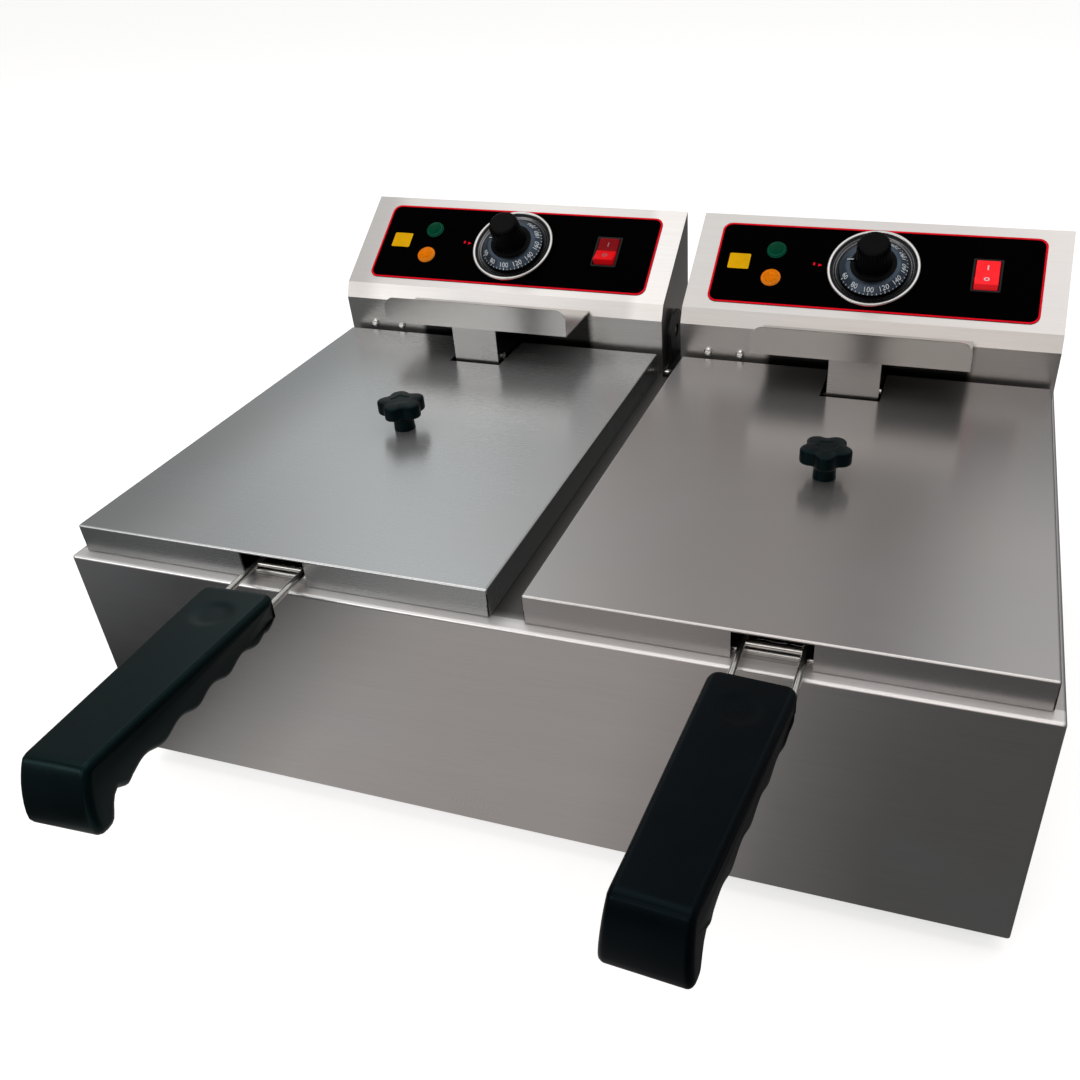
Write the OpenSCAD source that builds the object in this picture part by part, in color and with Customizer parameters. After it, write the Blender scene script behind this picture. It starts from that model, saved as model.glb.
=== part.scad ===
// Twin counter-top deep fryer: a folded sheet body holding two lift-out oil
// tanks, each with its own control head, heating element, basket and lid.
// Each unit is drawn about its own centre line: X across, Y from the body's
// front face towards the back, Z up from the body's lower edge.

/* [Body] */
// Width of the body
body_w = 550; // [545:1:620]
// Depth of the body, front face to back face
body_d = 410; // [408:1:440]
// Height of the body from its lower edge to the deck
body_h = 152; // [150:1:160]
// Sheet thickness of the body
sheet = 1; // [0.8:0.1:1.2]
// Fold radius along the body's upper edges
fold_r = 2; // [1.5:0.1:3]
// Height of the rubber feet
foot_h = 14; // [10:1:25]
// Distance from each unit's centre line to the middle of the body
unit_x = 139.5; // [138:0.5:142]

/* [Tanks] */
// Outside width of a tank below its rim
tank_w = 242; // [236:1:243]
// Y of the tank's front wall
tank_y0 = 19.5; // [19:0.5:24]
// Y of the tank's back wall
tank_y1 = 316; // [314:0.5:317]
// Z of the tank's underside
tank_z0 = 22; // [15:1:30]
// Corner radius of the tank
tank_r = 20; // [12:1:28]

/* [Lids] */
// Width of a lid
lid_w = 260; // [256:0.5:262]
// Y of the lid's front skirt
lid_y0 = 7.3; // [6.8:0.1:8]
// Y of the lid's back skirt
lid_y1 = 325; // [324:0.5:326]
// Height of the lid's top face
lid_z = 169.6; // [169:0.1:170]
// Width of the notch that the basket handle passes through
notch_w = 40.6; // [39:0.2:44]

/* [Control heads] */
// Width of a control head
head_w = 264.5; // [263:0.5:268]
// Sheet thickness of the head casing
head_t = 1.2; // [1:0.1:1.4]
// Width of the printed panel
panel_w = 231.5; // [220:0.5:235]
// Height of the printed panel along the slope
panel_h = 71.5; // [68:0.5:73]
// Radius of the thermostat bezel
bezel_r = 32; // [30:0.5:33]

/* [Baskets] */
// Width of a basket over its rim rod
basket_w = 200; // [180:1:206]
// Y of the basket rim at the front
basket_y0 = 37; // [34:1:42]
// Y of the basket rim at the back
basket_y1 = 262; // [250:1:263]
// Z of the basket floor
basket_z0 = 55; // [53:1:60]
// Z of the rim rod's centre
basket_z1 = 146; // [140:1:148]
// Radius of the basket's frame rods
rod_r = 2; // [1.6:0.1:2.2]
// Length of the handle grip
grip_l = 139; // [130:1:140]
// Width of the handle grip at its rear end
grip_w = 43; // [42:0.5:44]
// Angle at which the left and right grips sit, seen from above
grip_yaw = [2.5, -3.6]; // [-4:0.1:4]
// Angle by which the grips rise towards the front
grip_rise = 3; // [0:0.1:4]

/* [Hidden] */
$fn = 48;
e = 0.01;
y0 = -126.1;                     // Y of the body's front face in the part frame
hp = [[331, 152.6], [329.6, 193.2], [335.1, 204.1], [406.6, 252.3], [406.6, 152.6]];
slope = atan2(hp[3][1] - hp[2][1], hp[3][0] - hp[2][0]);
dial_s = 42.6;                   // thermostat centre, up the slope from the fold
guard_x = 1.4;
guard_w = 34.8;
elem_z = 45;
elem_r = 3.5;

// ---- helpers -------------------------------------------------------------
// Into the part frame, and onto the left (-1) or right (+1) unit
module whole() translate([0, y0, foot_h]) children();
module unit(side) translate([side * unit_x, y0, foot_h]) children();
// Onto the sloped face of a head: X across, Y up the slope, Z out of the face
module on_slope(x = 0, s = 0) translate([x, hp[2][0], hp[2][1]]) rotate([slope, 0, 0]) translate([0, s, 0]) children();
// Upright plate or block with rounded vertical corners, from [x0,y0] to [x1,y1]
module rblock(x0, ya, x1, yb, z0, z1, r) {
  translate([x0 + r, ya, z0]) cube([x1 - x0 - 2 * r, yb - ya, z1 - z0]);
  translate([x0, ya + r, z0]) cube([x1 - x0, yb - ya - 2 * r, z1 - z0]);
  for (x = [x0 + r, x1 - r], y = [ya + r, yb - r]) translate([x, y, z0]) cylinder(r = r, h = z1 - z0);
}
// Box whose upright and upper edges are folded to a small radius
module folded_box(x0, ya, x1, yb, z0, z1, r) {
  rblock(x0, ya, x1, yb, z0, z1 - r, r);
  translate([x0 + r, ya + r, z1 - r - e]) cube([x1 - x0 - 2 * r, yb - ya - 2 * r, r + e]);
  for (x = [x0 + r, x1 - r]) translate([x, ya + r, z1 - r]) rotate([-90, 0, 0]) cylinder(r = r, h = yb - ya - 2 * r);
  for (y = [ya + r, yb - r]) translate([x0 + r, y, z1 - r]) rotate([0, 90, 0]) cylinder(r = r, h = x1 - x0 - 2 * r);
  for (x = [x0 + r, x1 - r], y = [ya + r, yb - r]) translate([x, y, z1 - r]) sphere(r = r);
}
// Straight rod between two points in one upright plane or one level plane
module rod(a, b, r) {
  d = b - a; l = norm(d);
  translate(a) rotate([0, acos(d[2] / l), atan2(d[1], d[0])]) cylinder(r = r, h = l);
}
// Ball at a rod's corner
module knee(p, r) translate(p) sphere(r = r);
// Rods along a list of points, with a ball at each inner corner
module path(pts, r) {
  for (i = [0:len(pts) - 2]) rod(pts[i], pts[i + 1], r);
  for (i = [1:len(pts) - 2]) knee(pts[i], r);
}
// Level quarter or half turn of tube about centre c, from angle a0 through da
module bend(c, R, r, a0, da) translate(c) rotate([0, 0, a0]) rotate_extrude(angle = da) translate([R, 0]) circle(r = r);
// Pan-head screw pointing along -Z, seat at z = 0
module screw(l, r = 1.5) {
  translate([0, 0, -l]) cylinder(r = r, h = l + 0.5);
  difference() {
    union() { cylinder(r = r * 2.05, h = r * 0.7); translate([0, 0, r * 0.7 - e]) cylinder(r1 = r * 2.05, r2 = r * 1.35, h = r * 0.5, $fn = 48); }
    for (a = [0, 90]) rotate([0, 0, a]) translate([-r * 1.1, -r * 0.2, r * 0.6]) cube([r * 2.2, r * 0.4, r]);
  }
}
// Polygon inset by t, for a convex list of points in clockwise order
function nrm(v) = v / norm(v);
function lft(v) = [v[1], -v[0]];
function meet(p, d, q, f) = p + d * ((q - p)[0] * f[1] - (q - p)[1] * f[0]) / (d[0] * f[1] - d[1] * f[0]);
function inset(P, t) = [for (i = [0:len(P) - 1])
  let (a = P[(i + len(P) - 1) % len(P)], b = P[i], c = P[(i + 1) % len(P)],
       d1 = nrm(b - a), d2 = nrm(c - b))
  meet(a + lft(d1) * t, d1, b + lft(d2) * t, d2)];

// ---- body ----------------------------------------------------------------
module body_shell() color([0.66, 0.65, 0.63]) whole() difference() {
  folded_box(-body_w / 2, 0, body_w / 2, body_d, 0, body_h, fold_r);
  translate([-body_w / 2 + sheet, sheet, -1]) cube([body_w - 2 * sheet, body_d - 2 * sheet, body_h - sheet + 1]);
  for (s = [-1, 1]) translate([s * unit_x, 0, 0]) {
    rblock(-tank_w / 2 - 1, tank_y0 - 1, tank_w / 2 + 1, tank_y1 + 1, body_h - 5, body_h + 5, tank_r + 1);
  }
  for (x = [-3, 3]) translate([x, 329, body_h - 5]) cylinder(r = 2, h = 10);
}
module base_plate() color([0.55, 0.55, 0.55]) whole() difference() {
  translate([-body_w / 2 + sheet + 0.2, sheet + 0.2, 0]) cube([body_w - 2 * sheet - 0.4, body_d - 2 * sheet - 0.4, 14]);
  translate([-body_w / 2 + sheet + 1.4, sheet + 1.4, 1.2]) cube([body_w - 2 * sheet - 2.8, body_d - 2 * sheet - 2.8, 14]);
  for (x = [-1, 1], y = [45, body_d - 45]) translate([x * (body_w / 2 - 45), y, -1]) cylinder(r = 2.3, h = 5);
  for (s = [-1, 1], i = [-3:3]) translate([s * unit_x + i * 22 - 3, body_d / 2 - 60, -1]) cube([6, 120, 4]);
}
module feet() color([0.08, 0.08, 0.08]) whole()
  for (x = [-1, 1], y = [45, body_d - 45]) translate([x * (body_w / 2 - 45), y, -foot_h]) difference() {
    union() {
      translate([0, 0, 2]) cylinder(r1 = 13.5, r2 = 16, h = foot_h - 2, $fn = 48);
      cylinder(r1 = 12.5, r2 = 13.5, h = 2 + e, $fn = 48);
    }
    translate([0, 0, -1]) cylinder(r = 5.5, h = foot_h - 5 + 1);
    translate([0, 0, -1]) cylinder(r = 2.3, h = foot_h + 5);
  }
module foot_screws() color([0.7, 0.7, 0.72]) whole()
  for (x = [-1, 1], y = [45, body_d - 45]) translate([x * (body_w / 2 - 45), y, -5]) {
    rotate([180, 0, 0]) screw(12, 2);
    translate([0, 0, 6.2]) difference() { cylinder(r = 3.7, h = 3.2, $fn = 6); translate([0, 0, -1]) cylinder(r = 2, h = 6); }
  }
module centre_bracket() color([0.2, 0.2, 0.2]) whole() difference() {
  union() {
    translate([-5.5, 343, body_h]) cube([2, 32, 24]);
    translate([-5.5, 359, body_h + 24]) rotate([0, 90, 0]) cylinder(r = 16, h = 2);
    translate([-5.5, 324, body_h]) cube([11, 51, 2]);
  }
  for (x = [-3, 3]) translate([x, 329, body_h - 1]) cylinder(r = 1.6, h = 10);
  translate([-7, 359, body_h + 24]) rotate([0, 90, 0]) cylinder(r = 5, h = 6);
}
module bracket_screws() color([0.75, 0.75, 0.76]) whole()
  for (x = [-3, 3]) translate([x, 329, body_h + 2]) screw(8, 1.3);

// ---- tank ----------------------------------------------------------------
module tank(s) color([0.7, 0.7, 0.69]) unit(s) difference() {
  union() {
    rblock(-tank_w / 2, tank_y0, tank_w / 2, tank_y1, tank_z0, body_h + 1.3, tank_r);
    rblock(-126, 12, 126, 321, body_h + 0.3, body_h + 1.3, 8);
    for (y = [14, 319]) translate([-118, y, body_h + 1.3]) rotate([0, 90, 0]) cylinder(r = 1.2, h = 236);
  }
  rblock(-tank_w / 2 + 1, tank_y0 + 1, tank_w / 2 - 1, tank_y1 - 1, tank_z0 + 1, body_h + 5, tank_r - 1);
  translate([-21, 316.5, body_h + 1.31]) cube([46, 8, 5]);
}

// ---- control head ----------------------------------------------------------
module head_casing(s) color([0.72, 0.7, 0.68]) unit(s) difference() {
  translate([-head_w / 2, 0, 0]) rotate([90, 0, 90]) linear_extrude(head_w) polygon(hp);
  translate([-head_w / 2 + head_t, 0, 0]) rotate([90, 0, 90]) linear_extrude(head_w - 2 * head_t) polygon(inset(hp, head_t));
  // open underside and access opening in the back
  translate([-head_w / 2 + head_t, 334, 150]) cube([head_w - 2 * head_t, 71.4, 5]);
  translate([-head_w / 2 + head_t + 10, 400, 150]) cube([head_w - 2 * head_t - 20, 10, 86]);
  // doorway for the element legs
  translate([guard_x - guard_w / 2 + 1.2, 325, 154]) cube([guard_w - 2.4, 12, 36]);
  // panel holes
  on_slope(0, dial_s) translate([0, 0, -5]) cylinder(r = 5.5, h = 10);
  on_slope(-72, 55) translate([0, 0, -5]) cylinder(r = 5.3, h = 10);
  on_slope(-72, 30.2) translate([0, 0, -5]) cylinder(r = 5.3, h = 10);
  on_slope(77.7, 42.9) translate([-9.3, -13, -5]) cube([18.6, 26, 10]);
  for (x = [-111, -87]) translate([x, 325, 173]) rotate([-90, 0, 0]) cylinder(r = 1.6, h = 10);
  for (x = [-123, 123], z = [166, 228]) translate([x, 400, z]) rotate([-90, 0, 0]) cylinder(r = 1.6, h = 10);
  for (x = [-80, 80]) translate([x, 340, 150]) cylinder(r = 1.6, h = 5);
}
module head_cover(s) color([0.68, 0.67, 0.65]) unit(s) difference() {
  translate([-head_w / 2 + 2, 406.6, 156]) cube([head_w - 4, head_t, 84]);
  for (x = [-123, 123], z = [166, 228]) translate([x, 400, z]) rotate([-90, 0, 0]) cylinder(r = 1.6, h = 10);
  translate([70, 400, 176]) rotate([-90, 0, 0]) cylinder(r = 8.1, h = 10);
  translate([-60, 400, 200]) rotate([-90, 0, 0]) cylinder(r = 5.3, h = 10);
  // cooling slots
  for (i = [-4:4]) translate([i * 9 - 2, 400, 186]) cube([4, 12, 34]);
}
module head_bottom(s) color([0.6, 0.6, 0.6]) unit(s) difference() {
  translate([-head_w / 2 + 12, 338, 156]) cube([head_w - 24, 66, head_t]);
  // passage for the element legs
  translate([-25, 330, 150]) cube([52, 25, 10]);
}
module panel(s) color([0.02, 0.02, 0.02]) unit(s) on_slope(0, 42.25) difference() {
  rblock(-panel_w / 2, -panel_h / 2, panel_w / 2, panel_h / 2, 0, 0.4, 7);
  translate([0, dial_s - 42.25, -1]) cylinder(r = 6, h = 3);
  for (d = [55, 30.2]) translate([-72, d - 42.25, -1]) cylinder(r = 5.5, h = 3);
  translate([77.7 - 9.3, 0.65 - 13, -1]) cube([18.6, 26, 3]);
}
// Signal lamp: lens with a low dome, and its body through the panel
module lamp(x, d) on_slope(x, d) {
  translate([0, 0, 0.4]) cylinder(r = 7.2, h = 1.2);
  intersection() {
    translate([0, 0, 1.6 - 9.5]) sphere(r = 12);
    translate([0, 0, 1]) cylinder(r = 6.2, h = 6);
  }
  translate([0, 0, -16]) cylinder(r = 5.1, h = 17);
  for (y = [-2.2, 2.2]) translate([-1.5, y - 0.4, -22]) cube([3, 0.8, 7]);
}
module power_lamp(s) color([0.05, 0.35, 0.2]) unit(s) lamp(-72, 55);
module heating_lamp(s) color([0.9, 0.5, 0.05]) unit(s) lamp(-72, 30.2);
module thermostat_bezel(s) color([0.6, 0.6, 0.6]) unit(s) on_slope(0, dial_s) difference() {
  union() {
    translate([0, 0, 0.4]) cylinder(r = bezel_r, h = 2.6);
    translate([0, 0, 3 - e]) cylinder(r1 = bezel_r, r2 = bezel_r - 1.4, h = 1.2, $fn = 64);
  }
  translate([0, 0, 1.2]) cylinder(r = bezel_r - 3.4, h = 10);
  translate([0, 0, -1]) cylinder(r = 6, h = 5);
}
module thermostat_knob(s) color([0.03, 0.03, 0.03]) unit(s) on_slope(0, dial_s) {
  difference() {
    union() {
      translate([0, 0, 1.8]) cylinder(r = 24.5, h = 1.4);
      translate([0, 0, 3.2 - e]) cylinder(r1 = 24.5, r2 = 19, h = 4.2, $fn = 64);
      translate([0, 0, 7]) cylinder(r1 = 13.6, r2 = 12.4, h = 21, $fn = 64);
      translate([0, 0, 28 - e]) cylinder(r1 = 12.4, r2 = 11, h = 1.4, $fn = 64);
    }
    translate([0, 0, 1]) cylinder(r = 21.5, h = 2.2);
  }
  translate([0, 0, -16]) cylinder(r = 3, h = 20);
}
module thermostat(s) color([0.6, 0.6, 0.58]) unit(s) on_slope(0, dial_s) difference() {
  union() {
    translate([-15, -22, -2.4]) cube([30, 44, 1.2]);
    translate([-20, -16, -24]) cube([40, 32, 21.61]);
    translate([0, 0, -2.4]) cylinder(r = 5.3, h = 3.4);
    for (x = [-12, -4, 4]) translate([x, -6, -31]) cube([6, 0.8, 7.2]);
    translate([14, 4, -27]) cylinder(r = 2, h = 4);
  }
  translate([0, 0, -17]) cylinder(r = 3.06, h = 22);
}
module switch_frame(s) color([0.03, 0.03, 0.03]) unit(s) on_slope(77.7, 42.9) difference() {
  union() {
    rblock(-10.35, -14, 10.35, 14, 0.4, 2.2, 1.2);
    translate([-9.2, -12.9, -20]) cube([18.4, 25.8, 21]);
    for (y = [-8, 0, 8]) translate([-2.4, y - 0.4, -28]) cube([4.8, 0.8, 9]);
  }
  translate([-8.35, -12.2, -14]) cube([16.7, 24.4, 20]);
  translate([-8.9, 0, -3]) rotate([0, 90, 0]) cylinder(r = 1.56, h = 17.8);
}
module switch_rocker(s) color([0.8, 0.05, 0.05]) unit(s) on_slope(77.7, 42.9) translate([0, 0, -3]) rotate([-8, 0, 0]) {
  intersection() {
    translate([-8.05, 0, 0]) rotate([0, 90, 0]) cylinder(r = 11.9, h = 16.1);
    translate([-8.05, 0, 0]) rotate([90, 0, 90]) linear_extrude(16.1)
      polygon([[-12, 0], [-12, 7.6], [0, 5.8], [12, 7.6], [12, 0], [4, -4], [-4, -4]]);
  }
  translate([-8.8, 0, 0]) rotate([0, 90, 0]) cylinder(r = 1.5, h = 17.6);
}
module heating_element(s) color([0.35, 0.34, 0.33]) unit(s) {
  R = 16; q = 10;
  for (m = [-1, 1]) {
    x1 = guard_x + m * 8;
    // terminal pin, leg into the head, bend, leg down, bend
    rod([x1, 352, 178], [x1, 340, 178], 1.6);
    rod([x1, 341, 178], [x1, 300, 178], elem_r);
    translate([x1, 300, 170]) rotate([0, -90, 180]) rotate([0, 0, 0]) bend([0, 0, 0], 8, elem_r, 0, 90);
    rod([x1, 292, 170], [x1, 292, elem_z + 8], elem_r);
    translate([x1, 284, elem_z + 8]) rotate([0, 90, 0]) bend([0, 0, 0], 8, elem_r, 0, 90);
    rod([x1, 284, elem_z], [x1, 262, elem_z], elem_r);
  }
  // level run: out, forward, and three loops across the tank
  for (m = [-1, 1]) {
    x1 = guard_x + m * 8; xo = m * 80;
    bend([x1 + m * q, 262, elem_z], q, elem_r, m > 0 ? 180 : 270, 90);
    rod([x1 + m * q, 252, elem_z], [xo - m * q, 252, elem_z], elem_r);
    bend([xo - m * q, 242, elem_z], q, elem_r, m > 0 ? 0 : 90, 90);
    rod([xo, 242, elem_z], [xo, 71, elem_z], elem_r);
    bend([m * 64, 71, elem_z], R, elem_r, 180, 180);
    rod([m * 48, 71, elem_z], [m * 48, 212, elem_z], elem_r);
    bend([m * 32, 212, elem_z], R, elem_r, 0, 180);
    rod([m * 16, 212, elem_z], [m * 16, 71, elem_z], elem_r);
  }
  bend([0, 71, elem_z], R, elem_r, 180, 180);
}
module element_guard(s) color([0.72, 0.71, 0.69]) unit(s) difference() {
  union() {
    translate([guard_x - guard_w / 2, 281.5, 60]) cube([guard_w, 30, 135.4]);
    translate([guard_x - guard_w / 2, 281.5, 154.2]) cube([guard_w, 48, 41.2]);
  }
  translate([guard_x - guard_w / 2 + 1.2, 282.7, 59]) cube([guard_w - 2.4, 60, 135.2]);
  translate([guard_x + guard_w / 2 - 5, 290.4, 172]) rotate([0, 90, 0]) cylinder(r = 1.6, h = 10);
}
module basket_hanger(s) color([0.66, 0.65, 0.63]) unit(s) {
  // shelf, and the upright lip along its front edge that the basket hooks over
  translate([-70, 281, 195.4]) cube([145, 49.6, 1.2]);
  translate([0, 281.5, 195.5]) rotate([-3, 0, 0]) rotate([90, 0, 0]) linear_extrude(1.2) union() {
    translate([-70, 0]) square([145, 10.6]);
    translate([-62, 0]) square([129, 18.6]);
    for (x = [-62, 67]) translate([x, 10.6]) circle(r = 8);
  }
}
module sensor_bulbs(s) color([0.7, 0.55, 0.35]) unit(s) {
  for (m = [-1, 1]) {
    rod([m * 4 , 120, elem_z], [m * 4, 206, elem_z], 3);
    knee([m * 4, 120, elem_z], 3);
    path([[guard_x + m * 2.4, 340, 178], [guard_x + m * 2.4, 293, 178], [guard_x + m * 2.4, 293, elem_z], [m * 4, 204, elem_z]], 0.8);
  }
  for (y = [135, 190]) translate([-20, y, elem_z + 2.5]) cube([40, 7, 1.4]);
}
module high_limit(s) color([0.5, 0.5, 0.48]) unit(s) translate([-60, 0, 200]) difference() {
  union() {
    translate([0, 406.5, 0]) rotate([90, 0, 0]) cylinder(r = 5.2, h = 8);
    translate([-14, 378, -11]) cube([28, 21, 22]);
    translate([-20, 398, -5]) cube([40, 1.2, 10]);
    for (x = [-8, 6]) translate([x, 371, -3]) cube([1, 8, 6]);
  }
  translate([0, 410, 0]) rotate([90, 0, 0]) cylinder(r = 3.56, h = 24);
}
module reset_button(s) color([0.7, 0.06, 0.05]) unit(s) translate([-60, 0, 200]) {
  translate([0, 410.4, 0]) rotate([90, 0, 0]) cylinder(r = 3.5, h = 21.4);
  translate([0, 410.3, 0]) rotate([-90, 0, 0]) cylinder(r1 = 5, r2 = 4.6, h = 3.2, $fn = 48);
}
module terminal_block(s) color([0.85, 0.83, 0.78]) unit(s) translate([80, 380, 157.2]) difference() {
  union() {
    cube([44, 20, 10]);
    for (i = [0:2]) translate([3 + i * 14, 3, 9]) cube([10, 14, 7]);
  }
  for (i = [0:2]) translate([8 + i * 14, 10, 10]) cylinder(r = 2.2, h = 8);
}
module cord_gland(s) color([0.05, 0.05, 0.05]) unit(s) translate([70, 0, 176]) difference() {
  union() {
    translate([0, 419, 0]) rotate([90, 0, 0]) cylinder(r = 8, h = 26);
    translate([0, 412, 0]) rotate([90, 0, 0]) cylinder(r = 11.5, h = 4.2, $fn = 6);
    translate([0, 424, 0]) rotate([90, 0, 0]) cylinder(r = 10.2, h = 9);
    translate([0, 406.6, 0]) rotate([90, 0, 0]) cylinder(r = 11, h = 4.4, $fn = 6);
  }
  translate([0, 430, 0]) rotate([90, 0, 0]) cylinder(r = 4.2, h = 45);
}
module head_screws(s) color([0.78, 0.78, 0.79]) unit(s) {
  for (x = [-111, -87]) translate([x, 330.12, 173]) rotate([90, 0, 0]) screw(7);
  for (x = [-123, 123], z = [166, 228]) translate([x, 407.8, z]) rotate([-90, 0, 0]) screw(7);
  translate([guard_x + guard_w / 2, 290.4, 172]) rotate([0, 90, 0]) difference() {
    union() { translate([0, 0, -4.8]) cylinder(r = 1.5, h = 5); cylinder(r = 2.9, h = 1); }
    for (a = [0, 90]) rotate([0, 0, a]) translate([-1.7, -0.3, 0.5]) cube([3.4, 0.6, 1]);
  }
}

// ---- basket ----------------------------------------------------------------
module basket_mesh(s) color([0.75, 0.75, 0.75]) unit(s) difference() {
  rblock(-basket_w / 2 + 4.4, basket_y0 + 2.4, basket_w / 2 - 4.4, basket_y1 - 2.4, basket_z0, basket_z1 + 1.5, 12);
  rblock(-basket_w / 2 + 6.4, basket_y0 + 4.4, basket_w / 2 - 6.4, basket_y1 - 4.4, basket_z0 + 2, basket_z1 + 5, 10);
}
module basket_frame(s) color([0.78, 0.78, 0.78]) unit(s) {
  xr = basket_w / 2 - rod_r; c = 12; rh = rod_r - 0.1;
  // rim
  for (m = [-1, 1]) {
    rod([m * xr, basket_y0 + c, basket_z1], [m * xr, basket_y1 - c, basket_z1], rod_r);
    rod([-xr + c, m > 0 ? basket_y0 : basket_y1, basket_z1], [xr - c, m > 0 ? basket_y0 : basket_y1, basket_z1], rod_r);
    bend([m * (xr - c), basket_y0 + c, basket_z1], c, rod_r, m > 0 ? 270 : 180, 90);
    bend([m * (xr - c), basket_y1 - c, basket_z1], c, rod_r, m > 0 ? 0 : 90, 90);
    // handle rods: up the front of the basket, over the tank's rim and into the grip
    rod([m * 15.5, basket_y0, 104], [m * 15.5, basket_y0, 151.6], rh);
    translate([m * 15.5, basket_y0 - 6, 151.6]) rotate([0, 90, 0]) bend([0, 0, 0], 6, rh, 90, 90);
    rod([m * 15.5, basket_y0 - 6, 157.6], [m * 15.5, -33, 157.6], rh);
    // hook at the back
    rod([m * 22, basket_y1, 110], [m * 22, basket_y1, 157], rod_r - 0.4);
    translate([m * 22, basket_y1 + 6, 157]) rotate([0, 90, 0]) bend([0, 0, 0], 6, rod_r - 0.4, 90, 180);
    rod([m * 22, basket_y1 + 12, 157], [m * 22, basket_y1 + 12, 149], rod_r - 0.4);
  }
  rod([-23.4, basket_y1 + 12, 150.5], [23.4, basket_y1 + 12, 150.5], rod_r - 0.2);
  // cross bars of the handle, in front of the basket and above the deck
  for (y = [14, 27]) rod([-15.5, y, 157.6], [15.5, y, 157.6], rod_r - 0.4);
}
module handle_grip(s) color([0.03, 0.035, 0.04]) {
  yaw = s < 0 ? grip_yaw[0] : grip_yaw[1];
  hw = grip_w / 2;
  under = [for (t = [130:-2:14]) [t, -(17.6 + 0.045 * t) - 1.9 * cos(360 * (t - 46) / 25)]];
  unit(s) difference() {
    translate([s < 0 ? 0.5 : -2.4, -22, 168]) rotate([0, 0, yaw]) rotate([grip_rise * -1, 0, 0]) intersection() {
      // side view: flat top, nose bend, hooked front, finger bumps underneath
      translate([hw + 2, 0, 0]) rotate([90, 0, -90]) linear_extrude(grip_w + 4) polygon(concat(
        [[0, -2], [2, 0], [grip_l - 2, 0], [grip_l + 2, -2], [grip_l + 6.4, -9], [grip_l + 8, -19], [grip_l + 7.8, -28.8], [grip_l + 5.4, -31], [grip_l - 3, -31], [grip_l - 6, -28]],
        [[grip_l - 7.4, -24.4]], under, [[5, -17.6], [0, -13.5]]));
      // seen from above: narrower towards the nose
      translate([0, 0, -50]) linear_extrude(70) polygon([[-hw, 1], [-hw + 5, 4], [hw - 5, 4], [hw, 1],
        [hw - 4.8, 2 - grip_l], [hw - 2.8, -10 - grip_l], [2.8 - hw, -10 - grip_l], [4.8 - hw, 2 - grip_l]]);
    }
    // holes for the two handle rods
    for (x = [-15.5, 15.5]) translate([x, -14, 157.6]) rotate([90, 0, 0]) cylinder(r = rod_r - 0.05, h = 19.4);
  }
}

// ---- lid -------------------------------------------------------------------
module lid(s) color([0.62, 0.62, 0.62]) unit(s) difference() {
  folded_box(-lid_w / 2, lid_y0, lid_w / 2, lid_y1, body_h + 0.4, lid_z, 1.4);
  translate([-lid_w / 2 + 1.2, lid_y0 + 1.2, body_h - 5]) cube([lid_w - 2.4, lid_y1 - lid_y0 - 2.4, lid_z - body_h + 5 - 1.2]);
  // notch for the basket handle
  translate([-notch_w / 2, lid_y0 - 5, body_h - 5]) cube([notch_w, 10, lid_z - body_h + 5 - 1.4]);
  // notch that clears the element guard
  translate([-20.3, 278.3, body_h - 5]) cube([40.6, 60, 40]);
  // open corners of the folded skirts
  for (x = [-1, 1], y = [lid_y0, lid_y1]) translate([x * lid_w / 2, y, body_h - 5]) rotate([0, 0, 45]) cube([1.6, 1.6, 2 * (lid_z - body_h - 1.6) - 6], center = true);
  for (x = [-1, 1], y = [-1, 1]) translate([x * (lid_w / 2 - 0.6), y < 0 ? lid_y0 + 0.6 : lid_y1 - 0.6, body_h - 2]) rotate([0, 0, x * y > 0 ? 45 : -45]) translate([-3, -0.35, 0]) cube([6, 0.7, lid_z - body_h - 1]);
  translate([0, 167.5, lid_z - 5]) cylinder(r = 2.6, h = 10);
}
module lid_knob(s) color([0.03, 0.04, 0.04]) unit(s) translate([0, 167.5, lid_z]) difference() {
  union() {
    rotate_extrude() polygon([[0, 0], [7.4, 0], [6.8, 9], [10.4, 12.6], [10.4, 23], [8, 25.5], [0, 25.5]]);
    translate([0, 0, 12.5]) linear_extrude(11) difference() {
      union() {
        circle(r = 12);
        for (i = [0:4]) rotate(i * 72 + 18) translate([10.2, 0]) circle(r = 5.6);
      }
      for (i = [0:4]) rotate(i * 72 + 54) translate([17.6, 0]) circle(r = 6.6);
    }
  }
  translate([0, 0, -1]) cylinder(r = 2.5, h = 13);
}
module lid_stud(s) color([0.75, 0.75, 0.76]) unit(s) translate([0, 167.5, lid_z]) {
  translate([0, 0, -7]) cylinder(r = 2.5, h = 18.9);
  translate([0, 0, -2.2]) cylinder(r = 6, h = 1);
  translate([0, 0, -6.2]) cylinder(r = 4.6, h = 4.01, $fn = 6);
}

body_shell();
base_plate();
feet();
foot_screws();
centre_bracket();
bracket_screws();
tank(-1);  // left_tank
head_casing(-1);  // left_head_casing
head_cover(-1);  // left_head_cover
panel(-1);  // left_panel
head_bottom(-1);  // left_head_bottom
power_lamp(-1);  // left_power_lamp
heating_lamp(-1);  // left_heating_lamp
thermostat_bezel(-1);  // left_thermostat_bezel
thermostat_knob(-1);  // left_thermostat_knob
thermostat(-1);  // left_thermostat
switch_frame(-1);  // left_switch_frame
switch_rocker(-1);  // left_switch_rocker
heating_element(-1);  // left_heating_element
element_guard(-1);  // left_element_guard
basket_hanger(-1);  // left_basket_hanger
sensor_bulbs(-1);  // left_sensor_bulbs
high_limit(-1);  // left_high_limit
reset_button(-1);  // left_reset_button
terminal_block(-1);  // left_terminal_block
cord_gland(-1);  // left_cord_gland
head_screws(-1);  // left_head_screws
basket_mesh(-1);  // left_basket_mesh
basket_frame(-1);  // left_basket_frame
handle_grip(-1);  // left_handle_grip
lid(-1);  // left_lid
lid_knob(-1);  // left_lid_knob
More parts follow.
